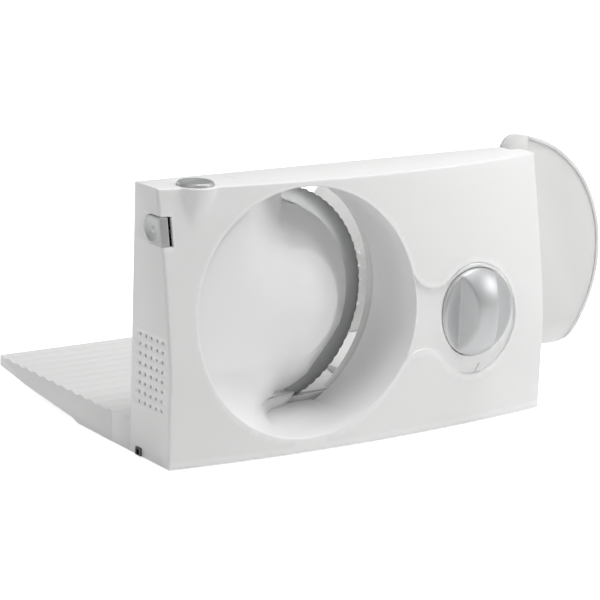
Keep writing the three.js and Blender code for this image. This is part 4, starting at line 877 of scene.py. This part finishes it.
def buildDialMark():
    x, z, half, height = dialMark["x"], dialMark["z"], dialMark["width"] / 2, dialMark["height"]
    base = frontAt(x, z + height / 2) + recess["depth"]
    outline = [(x - half, z), (x + half, z), (x, z + height)]
    piece = prism("dialArrow", outline, base - dialMark["proud"], base + dialMark["sunk"])
    softened(piece, width=dialMark["soft"])
    return finished(piece, "housing", "white_gloss", whiteGloss)


# Buttons
def buildTopButton():
    b = topButton
    profile = [(radius, b["crown"] - drop) for radius, drop in b["dish"]]
    profile += [(b["radius"], b["skirt"]), (b["stem"], b["skirt"]),
                (b["stem"], b["stemEnd"]), (0, b["stemEnd"])]
    piece = turned("topButton", profile, (b["x"], b["y"]), b["sides"])
    softened(piece, angle=40)
    return finished(piece, "top_key", "silver_plastic", silverPlastic, "top_button")


def buildSideButton():
    b = sideButton
    middle = (b["top"] + b["bottom"]) / 2
    radius = (b["top"] - b["bottom"]) / 2 - b["gap"]
    nose = arc(b["back"] - radius - b["gap"], middle, radius, -quarterTurn, quarterTurn, b["steps"])
    outline = [(b["left"], middle - radius)] + nose + [(b["left"], middle + radius)]
    piece = prism("sideButton", outline, -b["proud"], b["inner"], "X")
    columns = spaced(b["faceLeft"], b["faceRight"], b["faceColumns"])
    rows = spaced(b["bottom"] - b["faceBorder"], b["top"] + b["faceBorder"], b["faceRows"])
    combine(piece, frontBlock("tool", columns, rows, frontAt, toolEnds["behind"]), "INTERSECT")
    softened(piece, width=b["soft"], segments=4, angle=40)
    dishFoot = b["dishDepth"] - b["proud"]
    ball = (b["dish"] ** 2 + b["dishDepth"] ** 2) / (2 * b["dishDepth"])
    bpy.ops.mesh.primitive_uv_sphere_add(
        segments=b["ballSegments"],
        ring_count=b["ballRings"],
        radius=ball * mm,
        location=at(dishFoot - ball, b["dishY"], middle),
    )
    combine(piece, bpy.context.object)
    knop = turned("knop", b["knop"], (0, 0), b["knopSteps"])
    for vertex in knop.data.vertices:  # turned upright, then laid onto the dish
        co = (vertex.co - at(0, 0, 0)) / mm
        vertex.co = at(dishFoot - b["knopSink"] + co.z, b["dishY"] + co.x, middle + co.y)
    closeUp(knop)
    stemRing = circle(b["dishY"], b["stemZ"], b["stem"], b["stemSides"])
    stem = prism("stem", stemRing, b["inner"] - b["stemSink"], b["stemEnd"], "X")
    whole = joined([piece, knop, stem])
    softened(whole)
    return finished(whole, "side_key", "silver_plastic", silverPlastic, "side_button")


buildDialMark()
buildTopButton()
buildSideButton()
print("arrow and buttons made")


# Blade: a shallow ring round its face, a ground band and a waved edge
def buildBlade():
    steps = blade["waves"] * blade["stepsPerWave"]
    near, far = blade["near"], blade["near"] + blade["thickness"]
    middle, half, sunk = (near + far) / 2, blade["edgeHalf"], blade["ringDepth"]
    ringRadii = (blade["ringInner"], blade["ringInner"] + blade["ringSlope"],
                 blade["ringOuter"] - blade["ringSlope"], blade["ringOuter"])
    front = list(zip(ringRadii, (near, near + sunk, near + sunk, near)))
    back = list(zip(reversed(ringRadii), (far, far - sunk, far - sunk, far)))
    rim = [("ground", near + half), ("edge", middle - half), ("edge", middle + half), ("ground", far - half)]
    rows = [(blade["hole"], near)] + front + rim + back + [(blade["hole"], far), (blade["hole"], near)]

    def place(i, j):
        angle = fullTurn * i / steps
        radius, y = rows[j]
        if radius in ("ground", "edge"):
            dip = blade["wave"] * (1 - abs(math.sin(angle * blade["waves"] / 2))) ** blade["waveCurve"]
            radius = blade["radius"] - dip - (blade["ground"] if radius == "ground" else 0)
        return at(blade["x"] + radius * math.cos(angle), y, blade["z"] + radius * math.sin(angle))

    piece = closeUp(netPiece("cuttingDisc", steps, len(rows) - 1, place))
    softened(piece, angle=12)
    return finished(piece, "blade_unit", "steel", bladeSteel, "blade")


buildBlade()
bladeLock = finerCopy("bladeLock", "blade_lock", width=0.35, angle=30)
finished(bladeLock, "blade_unit", "silver_plastic", silverPlastic, "blade_lock")
print("blade made")


# Stop plate: the plate, the pad on its corner, the rim on its round side and the collar round the well
def stopPad():
    pad = prism("pad", stopOutline(0), stop["near"] - stop["pad"], stop["near"] + stop["sunk"])
    left, right = stop["shoulderX"] - stop["padLeft"], stop["shoulderX"] + stop["padWidth"]
    low, high = stop["padLow"], stop["padHigh"]
    corner = prism("tool", [(left, low), (right, low), (right, high), (left, high)], 0, toolEnds["behind"])
    combine(pad, corner, "INTERSECT")
    return softened(pad, width=0.3, angle=30)


def stopRim():
    behind, right, high = toolEnds["behind"], stop["rimRight"], stop["rimHigh"]
    rim = prism("rim", stopOutline(0), stop["near"] - stop["rimDepth"], stop["near"] + stop["sunk"])
    combine(rim, rod("tool", stop["x"], stop["z"], stop["radius"] - stop["rim"], 0, behind, stop["rimSides"]))
    side = stop["shoulderX"] + stop["padWidth"] / 2
    beyond = prism("tool", [(side, 0), (right, 0), (right, high), (side, high)], 0, behind)
    combine(rim, beyond, "INTERSECT")
    return softened(rim, width=0.25, angle=30)


def stopCollar():
    low = stop["collarLow"] * fullTurn
    high = math.asin((stop["top"] - blade["z"]) / stop["ring"]) - stop["collarShort"]
    near, far = stop["collarNear"], stop["near"] + stop["thickness"] - stop["collarBack"]
    inner, outer = stop["ring"], stop["ring"] + stop["collar"]
    lip, (bevelStart, bevelEnd) = inner + stop["collarLip"], stop["collarBevel"]
    section = [(lip, near), (outer, near), (outer, far), (inner, far), (inner, near + bevelEnd),
               (lip, near + bevelStart), (lip, near)]

    def place(i, j):
        angle = lerp(low, high, i / stop["collarSteps"])
        radius, y = section[j]
        return at(blade["x"] + radius * math.cos(angle), y, blade["z"] + radius * math.sin(angle))

    collar = closeUp(netPiece("collar", stop["collarSteps"], len(section) - 1, place))
    bpy.context.tool_settings.mesh_select_mode = (False, True, False)
    inEditMode(collar, selectAll, lambda: bpy.ops.mesh.fill_holes(sides=12), selectAll, facesOut)
    return softened(collar, angle=25)


def buildStopPlate():
    plate = prism("stopPlate", stopOutline(0), stop["near"], stop["near"] + stop["thickness"])
    softened(plate, width=0.4, segments=3, angle=30)
    whole = joined([plate, stopPad(), stopRim(), stopCollar()])
    # The whole plate takes the darker white, which is painted shade.
    return finished(whole, "plate", "white_matte", satinPlatePaintedShade, "stop_plate")


buildStopPlate()
print("stop plate made")

# Pieces that keep the solid's form, with merged faces and softened edges
for name, node, body, slot, material, width, angle in (
    ("rearPanel", "rear_shell", "housing", "white_matte", whiteMatte, 0.3, 32),
    ("baseBar", "base_frame", "housing", "white_matte", whiteMatte, 0.4, 35),
    ("ribbedTable", "table", "table_body", "white_matte", whiteMatte, 0.4, 35),
    ("foodCarriage", "food_carriage", "carriage", "white_matte", whiteMatte, 0.4, 35),
    ("remnantHolder", "remnant_holder", "holder", "white_matte", whiteMatte, 0.3, 35),
    ("cordGland", "cord_gland", "housing", "black_plastic", blackPlastic, 0.25, 35),
):
    finished(finerCopy(name, node, width, angle), body, slot, material, node)
for name, node, body, count in (
    ("rubberFoot", "foot", "housing", 4),
    ("tablePad", "table_pad", "table_body", 2),
):
    for i in range(1, count + 1):
        piece = finerCopy(f"{name}{i}", f"{node}_{i}", width=0.3, angle=35)
        finished(piece, body, "rubber", rubberBlack, f"{node}_{i}")
print("finer copies made")

# Solids that stay as they are, with their finish
stays = {
    "natural_plastic": naturalPlastic, "steel": pinSteel, "dark_steel": darkSteel,
    "black_plastic": blackPlastic, "motor_paint": motorPaint, "white_matte": whiteMatte,
    "silver_plastic": silverPlastic, "rubber": rubberBlack, "white_gloss": whiteGloss,
}
for part in frame["record"]["subparts"]:
    solid = nodes[part["node"]]
    if not solid.hide_render:
        solid.data.materials.clear()
        solid.data.materials.append(stays[part["material_slot"]])
print("inner solids finished")

# Camera, from the photograph's corners
view = {"focal": 2428.06, "frame": 600, "yaw": -35.29, "tilt": 13.85, "roll": 2.07,
        "eye": (-870.96, -1382.91, 530.55), "sensor": 36, "farthest": 50}
yaw, tilt, roll = (math.radians(view[k]) for k in ("yaw", "tilt", "roll"))
backward = Vector((math.sin(yaw) * math.cos(tilt), -math.cos(yaw) * math.cos(tilt), math.sin(tilt)))
level = (-backward).cross(Vector((0, 0, 1))).normalized()
upright = level.cross(-backward)
right = math.cos(roll) * level + math.sin(roll) * upright
up = -math.sin(roll) * level + math.cos(roll) * upright
camera = bpy.data.objects.new("camera", bpy.data.cameras.new("camera"))
bpy.context.scene.collection.objects.link(camera)
camera.matrix_world = Matrix.Translation(at(*view["eye"])) @ Matrix((right, up, backward)).transposed().to_4x4()
camera.data.sensor_width = view["sensor"]
camera.data.lens = view["sensor"] * view["focal"] / view["frame"]
camera.data.clip_end = view["farthest"]
bpy.context.scene.camera = camera

# Floor: white paper that glows for the camera, for reflections and seen through pieces, but lights nothing
sweep = {"size": 30, "drop": 0.0002, "color": (0.82, 0.82, 0.82, 1), "rough": 0.9, "shine": 0.1, "glow": 0.78}
bpy.ops.mesh.primitive_plane_add(size=sweep["size"], location=(0, 0, -sweep["drop"]))
ground = bpy.context.object
ground.name = "ground"
paper = bpy.data.materials.new("white paper sweep")
paper.use_nodes = True
paperTree = paper.node_tree
paperShader = paperTree.nodes["Principled BSDF"]
paperShader.inputs["Base Color"].default_value = sweep["color"]
paperShader.inputs["Roughness"].default_value = sweep["rough"]
paperShader.inputs["Specular IOR Level"].default_value = sweep["shine"]
lightPath = paperTree.nodes.new("ShaderNodeLightPath")


def paperMath(operation, first):
    node = paperTree.nodes.new("ShaderNodeMath")
    node.operation = operation
    paperTree.links.new(first, node.inputs[0])
    return node


seen = paperMath("MAXIMUM", lightPath.outputs["Is Camera Ray"])
paperTree.links.new(lightPath.outputs["Is Glossy Ray"], seen.inputs[1])
seenThrough = paperMath("MAXIMUM", seen.outputs[0])
paperTree.links.new(lightPath.outputs["Is Transmission Ray"], seenThrough.inputs[1])
glow = paperMath("MULTIPLY", seenThrough.outputs[0])
glow.inputs[1].default_value = sweep["glow"]
paperShader.inputs["Emission Color"].default_value = (1, 1, 1, 1)
paperTree.links.new(glow.outputs[0], paperShader.inputs["Emission Strength"])
ground.data.materials.append(paper)

# Light
room = {"color": (1, 1, 1, 1), "strength": 0.22}
world = bpy.data.worlds.new("soft room")
bpy.context.scene.world = world
world.use_nodes = True
sky = world.node_tree.nodes["Background"]
sky.inputs["Color"].default_value = room["color"]
sky.inputs["Strength"].default_value = room["strength"]

lampAim = Vector((0, -0.05, 0.09))
lamps = {
    "key": {"place": (1.05, -0.75, 0.72), "size": 0.6, "power": 7.2},
    "side": {"place": (-1.6, -0.9, 0.9), "size": 1.0, "power": 6},
    "over": {"place": (0.35, -0.28, 1.7), "size": 1.0, "power": 20},
    "rear": {"place": (-0.5, 1.7, 0.8), "size": 1.2, "power": 7},
}
for name, setting in lamps.items():
    light = bpy.data.lights.new(name, "AREA")
    light.shape = "DISK"
    light.size = setting["size"]
    light.energy = setting["power"]
    lamp = bpy.data.objects.new(name, light)
    bpy.context.scene.collection.objects.link(lamp)
    lamp.location = setting["place"]
    lamp.rotation_euler = (lampAim - lamp.location).to_track_quat("-Z", "Y").to_euler()
bpy.context.scene.view_settings.view_transform = "Standard"
print("camera, floor and light set")
